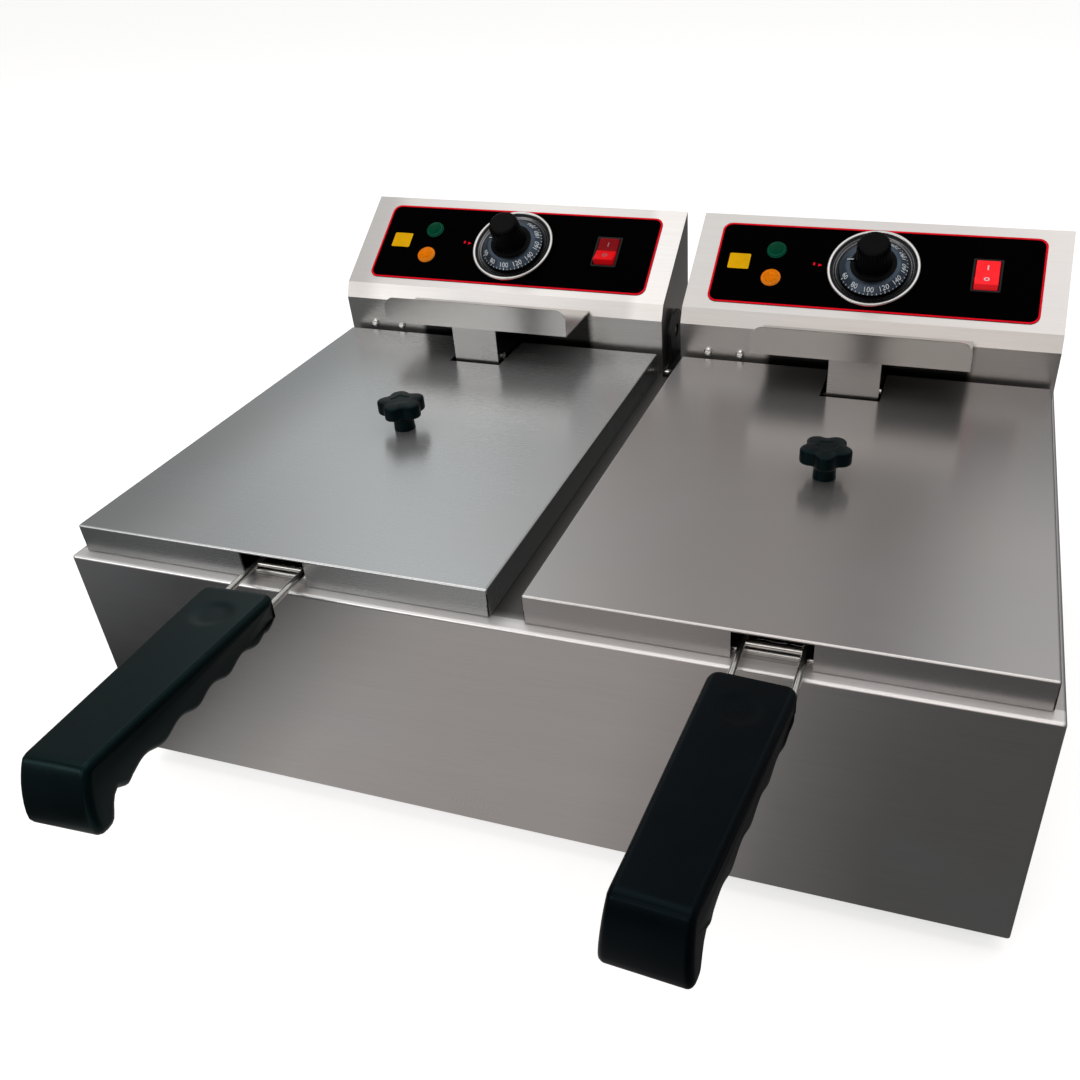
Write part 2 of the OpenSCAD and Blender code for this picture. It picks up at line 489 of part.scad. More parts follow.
lid_stud(-1);  // left_lid_stud
tank(1);  // right_tank
head_casing(1);  // right_head_casing
head_cover(1);  // right_head_cover
panel(1);  // right_panel
head_bottom(1);  // right_head_bottom
power_lamp(1);  // right_power_lamp
heating_lamp(1);  // right_heating_lamp
thermostat_bezel(1);  // right_thermostat_bezel
thermostat_knob(1);  // right_thermostat_knob
thermostat(1);  // right_thermostat
switch_frame(1);  // right_switch_frame
switch_rocker(1);  // right_switch_rocker
heating_element(1);  // right_heating_element
element_guard(1);  // right_element_guard
basket_hanger(1);  // right_basket_hanger
sensor_bulbs(1);  // right_sensor_bulbs
high_limit(1);  // right_high_limit
reset_button(1);  // right_reset_button
terminal_block(1);  // right_terminal_block
cord_gland(1);  // right_cord_gland
head_screws(1);  // right_head_screws
basket_mesh(1);  // right_basket_mesh
basket_frame(1);  // right_basket_frame
handle_grip(1);  // right_handle_grip
lid(1);  // right_lid
lid_knob(1);  // right_lid_knob
lid_stud(1);  // right_lid_stud
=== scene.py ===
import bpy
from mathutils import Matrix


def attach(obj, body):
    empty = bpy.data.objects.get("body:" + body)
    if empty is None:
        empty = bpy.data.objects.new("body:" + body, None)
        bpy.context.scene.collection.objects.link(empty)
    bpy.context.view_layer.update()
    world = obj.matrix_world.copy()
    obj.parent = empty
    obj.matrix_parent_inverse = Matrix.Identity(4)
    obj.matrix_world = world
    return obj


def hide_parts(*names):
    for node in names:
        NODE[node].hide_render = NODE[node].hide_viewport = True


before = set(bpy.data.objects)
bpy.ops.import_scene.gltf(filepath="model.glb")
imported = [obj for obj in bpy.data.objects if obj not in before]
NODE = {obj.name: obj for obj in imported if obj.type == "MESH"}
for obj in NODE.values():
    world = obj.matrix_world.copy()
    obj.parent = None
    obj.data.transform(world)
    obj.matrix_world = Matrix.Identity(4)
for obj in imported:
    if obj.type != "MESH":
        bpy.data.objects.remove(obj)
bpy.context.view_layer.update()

import math
import bpy
import bmesh
from mathutils import Matrix, Vector

SIDES = (("left", -1), ("right", 1))

# ---------------------------------------------------------------- places
# The part is drawn in millimetres: x from a unit's centre line, y from the
# body's front face, z from the body's lower edge. These bring it to metres.
Y0, FOOT, UNIT = -126.1, 14.0, 139.5
HP2, HP3 = (335.1, 204.1), (406.6, 252.3)
SLOPE = math.atan2(HP3[1] - HP2[1], HP3[0] - HP2[0])
DIAL_S = 42.6


def place(side=0):
    """Unit millimetres to part metres."""
    return Matrix.Scale(0.001, 4) @ Matrix.Translation((side * UNIT, Y0, FOOT))


def on_slope(side, x, s, n=0.0):
    """Local axes on a head's sloped face: X across, Y up the slope, Z out."""
    return (place(side) @ Matrix.Translation((x, HP2[0], HP2[1]))
            @ Matrix.Rotation(SLOPE, 4, "X") @ Matrix.Translation((0, s, n)))


# ---------------------------------------------------------------- mesh code
def add(name, verts, faces, matrix=None, smooth=True, angle=35):
    me = bpy.data.meshes.new(name)
    me.from_pydata([tuple(v) for v in verts], [], [tuple(f) for f in faces])
    if matrix is not None:
        me.transform(matrix)
    me.validate()
    bm = bmesh.new()
    bm.from_mesh(me)
    bmesh.ops.recalc_face_normals(bm, faces=bm.faces)
    bm.to_mesh(me)
    bm.free()
    o = bpy.data.objects.new(name, me)
    bpy.context.scene.collection.objects.link(o)
    if smooth:
        shade(o, angle)
    return o


def shade(o, angle=35):
    """Smooth shading, with edges sharper than the angle kept hard."""
    me = o.data
    for p in me.polygons:
        p.use_smooth = True
    bm = bmesh.new()
    bm.from_mesh(me)
    lim = math.radians(angle)
    for e in bm.edges:
        e.smooth = not (len(e.link_faces) == 2 and e.calc_face_angle(0) > lim)
    bm.to_mesh(me)
    bm.free()


class Shape:
    """Collects vertices and faces of one piece."""

    def __init__(self):
        self.v, self.f, self.mi = [], [], []

    def put(self, verts, faces, mat=0):
        n = len(self.v)
        self.v += [Vector(p) for p in verts]
        self.f += [tuple(i + n for i in f) for f in faces]
        self.mi += [mat] * len(faces)

    def rings(self, rings, closed=True, caps=(True, True), mat=0):
        """Skins a list of rings that have the same number of points."""
        m = len(rings[0])
        verts = [p for r in rings for p in r]
        faces = []
        for i in range(len(rings) - 1):
            for j in range(m if closed else m - 1):
                k = (j + 1) % m
                faces.append((i * m + j, i * m + k, (i + 1) * m + k, (i + 1) * m + j))
        if caps[0]:
            faces.append(tuple(range(m))[::-1])
        if caps[1]:
            faces.append(tuple((len(rings) - 1) * m + j for j in range(m)))
        self.put(verts, faces, mat)

    def lathe(self, profile, seg=64, mat=0, bump=None):
        """Turns a list of (radius, z) about Z. bump(angle, r, z) may change the radius."""
        rings = []
        for r, z in profile:
            ring = []
            for j in range(seg):
                a = 2 * math.pi * j / seg
                q = r if bump is None else bump(a, r, z)
                ring.append((q * math.cos(a), q * math.sin(a), z))
            rings.append(ring)
        self.rings(rings, True, (profile[0][0] > 0, profile[-1][0] > 0), mat)

    def tube(self, pts, r, sides=8, mat=0, loop=False, up=None):
        """A round rod along points."""
        pts = [Vector(p) for p in pts]
        n = len(pts)
        rings = []
        ref = None
        for i, p in enumerate(pts):
            if loop:
                d = (pts[(i + 1) % n] - pts[i - 1]).normalized()
            else:
                d = (pts[min(i + 1, n - 1)] - pts[max(i - 1, 0)]).normalized()
            if ref is None:
                ref = d.orthogonal().normalized() if up is None else (Vector(up) - d * Vector(up).dot(d)).normalized()
            ref = (ref - d * ref.dot(d)).normalized()
            b = d.cross(ref)
            rings.append([p + (ref * math.cos(2 * math.pi * j / sides) + b * math.sin(2 * math.pi * j / sides)) * r
                          for j in range(sides)])
        if loop:
            rings.append(rings[0])
        self.rings(rings, True, (not loop, not loop), mat)

    def make(self, name, matrix=None, materials=(), smooth=True, angle=35, weld=False):
        me = bpy.data.meshes.new(name)
        me.from_pydata([tuple(p) for p in self.v], [], self.f)
        for m in materials:
            me.materials.append(m)
        me.polygons.foreach_set("material_index", self.mi)
        if matrix is not None:
            me.transform(matrix)
        bm = bmesh.new()
        bm.from_mesh(me)
        if weld:
            bmesh.ops.remove_doubles(bm, verts=bm.verts, dist=1e-7)
        bmesh.ops.recalc_face_normals(bm, faces=bm.faces)
        bm.to_mesh(me)
        bm.free()
        me.validate()
        o = bpy.data.objects.new(name, me)
        bpy.context.scene.collection.objects.link(o)
        if smooth:
            shade(o, angle)
        return o


def bevel(o, width, segments=2, angle=35):
    """Rounds the piece's sharp edges, and applies the modifier."""
    m = o.modifiers.new("edge", "BEVEL")
    m.width, m.segments, m.limit_method, m.angle_limit = width, segments, "ANGLE", math.radians(angle)
    m.harden_normals = False
    apply(o)
    shade(o, angle)
    return o


def apply(o):
    dg = bpy.context.evaluated_depsgraph_get()
    me = bpy.data.meshes.new_from_object(o.evaluated_get(dg))
    old = o.data
    o.modifiers.clear()
    o.data = me
    me.name = old.name
    bpy.data.meshes.remove(old)


# ---------------------------------------------------------------- materials
class Mat:
    def __init__(self, name, **sockets):
        self.m = bpy.data.materials.new(name)
        self.m.use_nodes = True
        self.t = self.m.node_tree
        self.t.nodes.clear()
        out = self.t.nodes.new("ShaderNodeOutputMaterial")
        self.b = self.t.nodes.new("ShaderNodeBsdfPrincipled")
        self.t.links.new(self.b.outputs[0], out.inputs["Surface"])
        self.obj = self.node("ShaderNodeTexCoord").outputs["Object"]
        for k, v in sockets.items():
            self.set(k.replace("_", " "), v)

    def node(self, kind, **props):
        n = self.t.nodes.new(kind)
        for k, v in props.items():
            setattr(n, k, v)
        return n

    def put(self, socket, value):
        if isinstance(value, bpy.types.NodeSocket):
            self.t.links.new(value, socket)
        elif isinstance(value, (tuple, list, Vector)) and socket.type == "RGBA" and len(value) == 3:
            socket.default_value = (*value, 1)
        else:
            socket.default_value = value

    def set(self, name, value):
        names = {i.name.lower(): i for i in self.b.inputs}
        self.put(names[name.lower()], value)

    def math(self, op, a, b=0.0, c=None, clamp=False):
        n = self.node("ShaderNodeMath", operation=op, use_clamp=clamp)
        self.put(n.inputs[0], a)
        self.put(n.inputs[1], b)
        if c is not None:
            self.put(n.inputs[2], c)
        return n.outputs[0]

    def vec(self, op, a, b=(0, 0, 0)):
        n = self.node("ShaderNodeVectorMath", operation=op)
        self.put(n.inputs[0], a)
        self.put(n.inputs[1], b)
        return n.outputs["Value"] if op in ("DOT_PRODUCT", "LENGTH", "DISTANCE") else n.outputs["Vector"]

    def split(self, v):
        n = self.node("ShaderNodeSeparateXYZ")
        self.put(n.inputs[0], v)
        return n.outputs

    def join(self, x, y, z):
        n = self.node("ShaderNodeCombineXYZ")
        for i, q in enumerate((x, y, z)):
            self.put(n.inputs[i], q)
        return n.outputs[0]

    def noise(self, v, scale=1.0, detail=2.0, rough=0.5, distort=0.0):
        n = self.node("ShaderNodeTexNoise")
        self.put(n.inputs["Vector"], v)
        n.inputs["Scale"].default_value = scale
        n.inputs["Detail"].default_value = detail
        n.inputs["Roughness"].default_value = rough
        n.inputs["Distortion"].default_value = distort
        return n.outputs[0]

    def cells(self, v, scale, feature="F1", out="Distance", rand=1.0):
        n = self.node("ShaderNodeTexVoronoi", feature=feature)
        self.put(n.inputs["Vector"], v)
        n.inputs["Scale"].default_value = scale
        n.inputs["Randomness"].default_value = rand
        return n.outputs[out]

    def remap(self, f, a, b, c, d, smooth=False):
        n = self.node("ShaderNodeMapRange", interpolation_type="SMOOTHSTEP" if smooth else "LINEAR")
        self.put(n.inputs[0], f)
        for i, q in enumerate((a, b, c, d)):
            self.put(n.inputs[i + 1], q)
        return n.outputs[0]

    def mix(self, f, a, b, mode="MIX"):
        n = self.node("ShaderNodeMix", data_type="RGBA", blend_type=mode)
        self.put(n.inputs[0], f)
        self.put(n.inputs[6], a)
        self.put(n.inputs[7], b)
        return n.outputs[2]

    def mixv(self, f, a, b):
        n = self.node("ShaderNodeMix", data_type="VECTOR")
        self.put(n.inputs[0], f)
        self.put(n.inputs[4], a)
        self.put(n.inputs[5], b)
        return n.outputs[1]

    def scale_colour(self, colour, f):
        """The colour times a factor."""
        n = self.node("ShaderNodeVectorMath", operation="SCALE")
        self.put(n.inputs[0], colour)
        self.put(n.inputs["Scale"], f)
        return n.outputs[0]

    def bump(self, height, strength, distance, normal=None):
        n = self.node("ShaderNodeBump")
        n.inputs["Strength"].default_value = strength
        n.inputs["Distance"].default_value = distance
        self.put(n.inputs["Height"], height)
        if normal is not None:
            self.put(n.inputs["Normal"], normal)
        return n.outputs[0]


def brushed(name, base, rough=0.33, aniso=0.5, streak=1.0, cloud=1.0, fine=1.0, long_axis="X", deck=0.0, shade_by=None, metal=1.0):
    """Brushed sheet. The grain runs along X, and down the folds that look sideways."""
    k = Mat(name, Metallic=metal, Anisotropic=aniso)
    normal = k.node("ShaderNodeNewGeometry").outputs["Normal"]
    nx, ny, nz = k.split(normal)
    px, py, pz = k.split(k.obj)
    side = k.math("GREATER_THAN", k.math("ABSOLUTE", nx), 0.7)
    if long_axis == "X":
        q = k.mixv(side, k.join(px, py, pz), k.join(pz, py, px))
    else:  # along Z everywhere, but along Y on level faces
        level = k.math("GREATER_THAN", k.math("ABSOLUTE", nz), 0.7)
        q = k.mixv(level, k.join(pz, px, py), k.join(py, px, pz))
    a = k.noise(k.vec("MULTIPLY", q, (26.0, 2100.0, 2100.0)), 1.0, 2.0, 0.6)
    b = k.noise(k.vec("MULTIPLY", q, (7.0, 420.0, 420.0)), 1.0, 2.0, 0.6)
    c = k.noise(k.obj, 9.0, 3.0, 0.55)
    d = k.noise(k.vec("MULTIPLY", q, (2.2, 34.0, 34.0)), 1.0, 1.0, 0.5)
    f = k.math("ADD", k.math("MULTIPLY", k.math("SUBTRACT", a, 0.5), 0.22 * fine),
               k.math("MULTIPLY", k.math("SUBTRACT", b, 0.5), 0.12 * streak))
    f = k.math("ADD", f, k.math("MULTIPLY", k.math("SUBTRACT", c, 0.5), 0.10 * cloud))
    f = k.math("ADD", f, k.math("MULTIPLY", k.math("SUBTRACT", d, 0.5), 0.08 * streak))
    tone = k.math("ADD", f, 1.0)
    # shade_by paints shade and light into the tone by position
    if shade_by:
        tone = k.math("MULTIPLY", tone, shade_by(k, (px, py, pz), (nx, ny, nz), c))
    k.set("Base Color", k.scale_colour(k.mix(k.remap(c, 0.35, 0.65, 0, 1), base, tuple(min(1, x * y) for x, y in zip(base, (0.985, 1.0, 1.02)))),
                                       tone))
    r = k.math("ADD", k.math("MULTIPLY", k.math("SUBTRACT", a, 0.5), 0.10 * fine), rough)
    r = k.math("ADD", r, k.math("MULTIPLY", k.math("SUBTRACT", c, 0.5), 0.14 * cloud))
    r = k.math("ADD", r, k.math("MULTIPLY", k.math("SUBTRACT", d, 0.5), 0.05 * streak), clamp=True)
    if deck:
        r = k.math("ADD", r, k.math("MULTIPLY", k.math("GREATER_THAN", k.math("ABSOLUTE", nz), 0.7), deck), clamp=True)
    k.set("Roughness", r)
    h = k.math("ADD", a, k.math("MULTIPLY", b, 0.5))
    k.set("Normal", k.bump(h, 0.05 * fine, 0.00005))
    n = k.node("ShaderNodeVectorMath", operation="CROSS_PRODUCT")
    k.put(n.inputs[0], normal)
    k.put(n.inputs[1], k.mixv(side, (1.0, 0.0, 0.0), (0.0, 0.0, 1.0)))
    k.set("Tangent", n.outputs[0])
    return k.m


def plain_metal(name, base, rough=0.3, spots=0.1, scale=60.0, tint=None, bump=0.05):
    """Zinc, nickel or bare sheet: a fine mottle and faint scratches."""
    k = Mat(name, Metallic=1.0)
    a = k.noise(k.obj, scale, 3.0, 0.6)
    b = k.noise(k.vec("MULTIPLY", k.obj, (900.0, 900.0, 900.0)), 1.0, 2.0, 0.6)
    f = k.math("ADD", k.remap(a, 0.3, 0.7, 1 - spots, 1 + spots), k.math("MULTIPLY", k.math("SUBTRACT", b, 0.5), spots))
    col = base if tint is None else k.mix(k.remap(a, 0.35, 0.7, 0, 1), base, tint)
    k.set("Base Color", k.scale_colour(col, f))
    k.set("Roughness", k.remap(k.math("ADD", a, b), 0.7, 1.3, rough * 0.8, rough * 1.25))
    k.set("Normal", k.bump(b, bump, 0.00008))
    return k.m


def plastic(name, base, rough=0.4, grain=1.0, scale=1500.0, coat=0.0, spec=0.25, tint=None):
    """Moulded plastic or rubber: fine spark-eroded grain, faint handling marks."""
    k = Mat(name)
    a = k.noise(k.obj, scale, 2.0, 0.6)
    c = k.noise(k.obj, 40.0, 3.0, 0.6)
    tone = k.math("ADD", k.remap(c, 0.3, 0.7, 0.88, 1.12), k.math("MULTIPLY", k.math("SUBTRACT", a, 0.5), 0.3 * grain))
    k.set("Base Color", k.scale_colour(base, tone))
    k.set("Roughness", k.remap(k.math("ADD", k.math("MULTIPLY", a, 0.35), c), 0.45, 0.95, max(0.02, rough - 0.06), rough + 0.07))
    k.set("Specular IOR Level", spec)
    if tint:
        k.set("Specular Tint", tint)
    if coat:
        k.set("Coat Weight", coat)
        k.set("Coat Roughness", 0.08)
    k.set("Normal", k.bump(a, 0.12 * grain, 0.00012))
    return k.m


def inside(k, v, lo, hi, soft):
    """1 where lo < v < hi, with soft ends."""
    return k.math("MULTIPLY", k.remap(v, lo - soft, lo + soft, 0, 1, smooth=True), k.remap(v, hi - soft, hi + soft, 1, 0, smooth=True))


def painted_shade_factor(k, mask, to):
    """The tone factor for painted shade: 1 outside the mask, to inside it."""
    return k.math("SUBTRACT", 1.0, k.math("MULTIPLY", mask, 1.0 - to))


def painted_fold_highlight(k, n, gain):
    """Painted highlight: added tone along the front folds, where the face turns from level to forward."""
    m = k.math("MULTIPLY", inside(k, n[2], 0.28, 0.93, 0.04), k.math("LESS_THAN", n[1], -0.2))
    return k.math("MULTIPLY", m, gain)


def deck_painted_shade_and_light(k, p, n, c):
    """Painted shade on the deck in the groove between the two lids, a painted brighter strip on the level deck along
    the front, and the painted fold highlight.
    """
    m = k.math("MULTIPLY", inside(k, p[0], -0.0125, 0.0125, 0.002), inside(k, p[1], -0.1165, 0.21, 0.006))
    m = k.math("MULTIPLY", m, k.math("GREATER_THAN", k.math("ABSOLUTE", n[2]), 0.7))
    # painted light: the level deck strip along the front is made brighter
    front = k.math("MULTIPLY", k.math("LESS_THAN", p[1], -0.1165), k.math("GREATER_THAN", n[2], 0.7))
    return k.math("ADD", k.math("ADD", painted_shade_factor(k, m, 0.22), k.math("MULTIPLY", front, 0.60)), painted_fold_highlight(k, n, 0.8))


def head_painted_shade_and_light(k, p, n, c):
    """Painted shadow on the head's front under the basket shelf, painted shade on the head's side faces, and painted
    light on the sloped face.
    """
    side = k.math("ADD", inside(k, p[0], -0.2065, -0.0635, 0.003), inside(k, p[0], 0.0725, 0.2155, 0.003))
    m = k.math("MULTIPLY", side, k.remap(p[2], 0.2065, 0.2105, 1, 0, smooth=True))
    f = painted_shade_factor(k, k.math("MULTIPLY", m, k.remap(p[1], 0.208, 0.212, 1, 0)), 0.05)
    # painted shade: the head's side faces are darkened
    f = k.math("MULTIPLY", f, painted_shade_factor(k, k.math("GREATER_THAN", k.math("ABSOLUTE", n[0]), 0.7), 0.72))
    # the sloped face of the left head: painted shade on the outer edge, a painted highlight on the inner edge, and
    # painted light over the whole slope
    slope = inside(k, n[2], 0.3, 0.99, 0.02)
    outer = k.math("MULTIPLY", slope, k.remap(p[0], -0.262, -0.238, 1, 0, smooth=True))
    inner = k.math("MULTIPLY", slope, inside(k, p[0], -0.032, -0.002, 0.006))
    f = k.math("MULTIPLY", f, painted_shade_factor(k, outer, 0.74))
    lift = k.math("MULTIPLY", slope, k.math("LESS_THAN", p[0], 0.0))
    return k.math("ADD", k.math("ADD", f, k.math("MULTIPLY", inner, 0.26)), k.math("MULTIPLY", lift, 0.12))


def shelf_underside_painted_shade(k, p, n, c):
    # painted shade: the downward faces of the shelf are darkened
    return painted_shade_factor(k, k.math("LESS_THAN", n[2], -0.5), 0.08)


def guard_sides_painted_shade(k, p, n, c):
    # painted shade: the guard's side faces below the shelf are darkened
    return painted_shade_factor(k, k.math("MULTIPLY", k.math("GREATER_THAN", k.math("ABSOLUTE", n[0]), 0.7), k.remap(p[2], 0.2065, 0.2095, 1, 0)), 0.12)


def lid_painted_shade_and_highlight(k, p, n, c):
    """Painted shade on the lid: darker skirts, a darker outer edge on the left lid and a darker outer back corner on
    the right lid, with the painted fold highlight.
    """
    f = painted_shade_factor(k, k.math("GREATER_THAN", k.math("ABSOLUTE", n[0]), 0.7), 0.45)
    f = k.math("MULTIPLY", f, painted_shade_factor(k, k.math("GREATER_THAN", k.math("ABSOLUTE", n[1]), 0.7), 0.74))
    left = k.remap(p[0], -0.265, -0.19, 1, 0, smooth=True)
    right = k.math("MULTIPLY", k.remap(p[0], 0.10, 0.26, 0.35, 1, smooth=True), k.remap(p[1], -0.03, 0.17, 0, 1, smooth=True))
    f = k.math("MULTIPLY", k.math("MULTIPLY", f, painted_shade_factor(k, left, 0.70)), painted_shade_factor(k, right, 0.58))
    return k.math("ADD", f, painted_fold_highlight(k, n, 0.7))


STEEL = (0.60, 0.585, 0.57)
MAT = {
    # the body, head, lid, shelf and guard steels carry painted shade and light through shade_by
    "body": brushed("body_steel", (0.56, 0.545, 0.535), 0.30, 0.5, 0.6, 1.0, 0.7, deck=0.20, shade_by=deck_painted_shade_and_light),
    "head": brushed("head_steel", (0.62, 0.60, 0.58), 0.30, 0.4, 0.6, 1.0, 0.7, shade_by=head_painted_shade_and_light),
    # painted light: the two lids are lit and shaded copies of one steel, the left lighter and cooler, the right darker
    # and warmer
    "lid_left": brushed("lid_steel_left_painted_lighter", (0.535, 0.545, 0.545), 0.27, 0.6, 0.20, 0.5, 0.26, shade_by=lid_painted_shade_and_highlight, metal=0.74),
    "lid_right": brushed("lid_steel_right_painted_darker", (0.50, 0.485, 0.475), 0.24, 0.6, 0.20, 0.5, 0.26, shade_by=lid_painted_shade_and_highlight, metal=0.80),
    "hanger": brushed("hanger_steel", (0.66, 0.64, 0.615), 0.23, 0.0, 0.35, 0.6, 0.4, shade_by=shelf_underside_painted_shade),
    "guard": brushed("guard_steel", (0.50, 0.49, 0.475), 0.26, 0.3, 0.6, 0.8, 0.6, shade_by=guard_sides_painted_shade),
    "tank": brushed("tank_steel", (0.62, 0.61, 0.59), 0.26, 0.2, cloud=1.6),
    "base": plain_metal("galvanised", (0.50, 0.51, 0.52), 0.42, 0.18, 45.0),
    "bracket": plain_metal("dark_strip", (0.05, 0.05, 0.05), 0.45, 0.3, 120.0),
    "zinc": plain_metal("zinc_screw", (0.90, 0.89, 0.87), 0.16, 0.05, 300.0),
    "element": plain_metal("tinted_sheath", (0.26, 0.24, 0.22), 0.42, 0.25, 25.0, tint=(0.16, 0.13, 0.12)),
    "wire": plain_metal("nickel_wire", (0.72, 0.71, 0.68), 0.22, 0.08, 250.0),
    "copper": plain_metal("copper_bulb", (0.72, 0.42, 0.26), 0.34, 0.2, 90.0, tint=(0.45, 0.25, 0.16)),
    "rim": plain_metal("bright_rim", (0.66, 0.65, 0.64), 0.16, 0.04, 200.0),
    "step": plain_metal("dish_step", (0.20, 0.20, 0.21), 0.26, 0.04, 200.0),
    "dish": brushed("dial_dish", (0.018, 0.019, 0.020), 0.38, 0.0, 0.4, 0.6),
    "black": plastic("black_moulding", (0.0006, 0.0008, 0.0012), 0.34, spec=0.055),
    # painted reflection: the teal specular tint on the knob and the grips stands in for a teal reflection; the two
    # grips are lit and shaded copies of one plastic, the left lighter, the right darker
    "knob": plastic("star_knob_plastic", (0.0002, 0.0022, 0.0034), 0.36, 0.8, spec=0.13, tint=(0.5, 0.95, 1.0)),
    "grip_left": plastic("grip_plastic_left_painted_lighter", (0.0001, 0.0016, 0.0022), 0.31, 0.8, spec=0.20, tint=(0.42, 0.97, 1.0)),
    "grip_right": plastic("grip_plastic_right_painted_darker", (0.0001, 0.0006, 0.0016), 0.30, 0.8, spec=0.11, tint=(0.52, 0.86, 1.0)),
    "rubber": plastic("foot_rubber", (0.018, 0.018, 0.018), 0.7, 2.0, 900.0, spec=0.3),
    "ceramic": plastic("terminal_ceramic", (0.78, 0.75, 0.68), 0.25, 0.5, 500.0, coat=0.4),
    "red_button": plastic("reset_plastic", (0.50, 0.02, 0.015), 0.3, 0.6, coat=0.3),
    "print_white": plastic("white_print", (0.74, 0.80, 0.86), 0.42, 0.3, 1200.0, spec=0.1),
    "print_silver": plastic("silver_print", (0.86, 0.93, 1.0), 0.42, 0.3, 1200.0, spec=0.2),
    "print_dim": plastic("dim_print", (0.30, 0.17, 0.19), 0.42, 0.3, 1200.0, spec=0.1),
    "print_red": plastic("red_print", (1.0, 0.006, 0.020), 0.40, 0.3, 1200.0, spec=0.02),
    "print_grey": plastic("grey_print", (0.10, 0.12, 0.14), 0.42, 0.3, 1200.0),
    "tab": plastic("yellow_film", (0.98, 0.52, 0.0008), 0.38, 0.4, 900.0, spec=0.03),
    "film": plastic("black_film", (0.0002, 0.0002, 0.0002), 0.30, 0.5, 1800.0, spec=0.004),
    "frame_black": plastic("frame_moulding", (0.003, 0.003, 0.004), 0.3, 0.6, 1500.0, spec=0.18),
}
# ---------------------------------------------------------------- camera
R = [[0.9520118583491933, 0.30377342923957246, -0.03735137548398895],
     [0.14180634605066803, -0.5459450067346092, -0.8257330136559309],
     [-0.2712275461347421, 0.7808109587535117, -0.5628231204456231]]
CAM_AT = Vector(((477.91 - 275) / 1000, (-387.93 + Y0) / 1000, (479.43 + FOOT) / 1000))
FOCAL, PPX, PPY = 1048.14, 622.99, 571.06
cam = bpy.data.cameras.new("camera")
cam.sensor_fit, cam.sensor_width = "HORIZONTAL", 36.0
cam.lens = FOCAL / 1080 * 36
cam.shift_x, cam.shift_y = (540 - PPX) / 1080, (PPY - 540) / 1080
cam.clip_start, cam.clip_end = 0.01, 60
camera = bpy.data.objects.new("camera", cam)
rot = Matrix((R[0], [-q for q in R[1]], [-q for q in R[2]])).transposed()
camera.matrix_world = Matrix.Translation(CAM_AT) @ rot.to_4x4()
bpy.context.scene.collection.objects.link(camera)
bpy.context.scene.camera = camera
bpy.context.scene.view_settings.view_transform = "Standard"


def assign(node, material):
    o = NODE[node]
    if not o.data.materials:
        o.data.materials.append(material)
    for i in range(len(o.data.materials)):
        o.data.materials[i] = material
    return o


# ---------------------------------------------------------------- CAD nodes
assign("body_shell", MAT["body"])
assign("base_plate", MAT["base"])
assign("feet", MAT["rubber"])
assign("foot_screws", MAT["zinc"])
assign("centre_bracket", MAT["bracket"])
assign("bracket_screws", MAT["zinc"])
for name, s in SIDES:
    for part, m in (("tank", "tank"), ("head_casing", "head"), ("head_cover", "head"), ("panel", "film"),
                    ("head_bottom", "base"), ("thermostat", "base"), ("switch_frame", "black"),
                    ("heating_element", "element"), ("element_guard", "guard"), ("basket_hanger", "hanger"),
                    ("sensor_bulbs", "copper"), ("high_limit", "base"), ("reset_button", "red_button"),
                    ("terminal_block", "ceramic"), ("cord_gland", "black"), ("head_screws", "zinc"),
                    ("basket_frame", "wire"), ("lid", "lid_" + name), ("lid_stud", "zinc")):
        assign(f"{name}_{part}", MAT[m])


# ---------------------------------------------------------------- lamps
def lens_material(name, base, glow, strength, level, edge):
    k = Mat(name, Roughness=0.25, Specular_IOR_Level=level)
    px, py, pz = k.split(k.obj)
    a = k.cells(k.obj, 900.0)
    c = k.noise(k.obj, 180.0, 2.0)
    axis = tuple(on_slope(-1, 0, DIAL_S).col[2][:3])
    length = math.sqrt(sum(v * v for v in axis))
    tilt = k.vec("DOT_PRODUCT", k.node("ShaderNodeNewGeometry").outputs["Normal"], tuple(v / length for v in axis))
    body = k.mix(k.remap(k.math("ADD", a, c), 0.6, 1.2, 0, 1), base, tuple(q * 0.7 for q in base))
    # painted highlight: where the lens turns away from its axis it takes the lighter edge colour
    k.set("Base Color", k.mix(k.remap(tilt, 0.66, 0.82, 1, 0), body, edge))
    k.set("Emission Color", glow)
    k.set("Emission Strength", strength)
    k.set("Normal", k.bump(a, 0.10, 0.0002))
    return k.m


# the last colour given to each lens is its painted rim highlight
GREEN = lens_material("green_lens", (0.0001, 0.078, 0.034), (0.0, 0.25, 0.12), 0.01, 0.03, (0.012, 0.15, 0.10))
AMBER = lens_material("amber_lens", (1.0, 0.235, 0.0004), (1.0, 0.26, 0.0), 0.12, 0.03, (1.0, 0.36, 0.05))


def lamp(name, side, s, material):
    """Domed lens with a stepped flange, over its barrel and two tags."""
    g = Shape()
    dome = [(7.2, 0.4), (7.25, 0.9), (7.05, 1.4), (6.6, 1.65), (6.25, 1.6), (6.15, 1.75)]
    for i in range(1, 13):
        a = math.radians(90 - 31.1) + math.radians(31.1) * i / 12
        dome.append((max(0.0, 12.0 * math.cos(a)) * 0.99, 12.0 * math.sin(a) - 9.5 + 1.6))
    dome[-1] = (0.0, dome[-1][1])
    prof = [(5.1, -16.0), (5.1, 0.4)] + dome
    g.lathe(prof[:-1] + [(0.02, dome[-1][1])], 48)
    for y in (-2.2, 2.2):
        g.rings([[(x, y + q, z) for x, q in ((-1.5, -0.4), (1.5, -0.4), (1.5, 0.4), (-1.5, 0.4))] for z in (-22, -15.5)])
    o = g.make(name + "_lens", on_slope(side, -72, s), [material], angle=30)
    return o


for name, s in SIDES:
    for node, d, m, slot in (("power_lamp", 55, GREEN, "green_lens"), ("heating_lamp", 30.2, AMBER, "amber_lens")):
        o = lamp(f"{name}_{node}", s, d, m)
        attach(o, f"{name}_head")
        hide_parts(f"{name}_{node}")


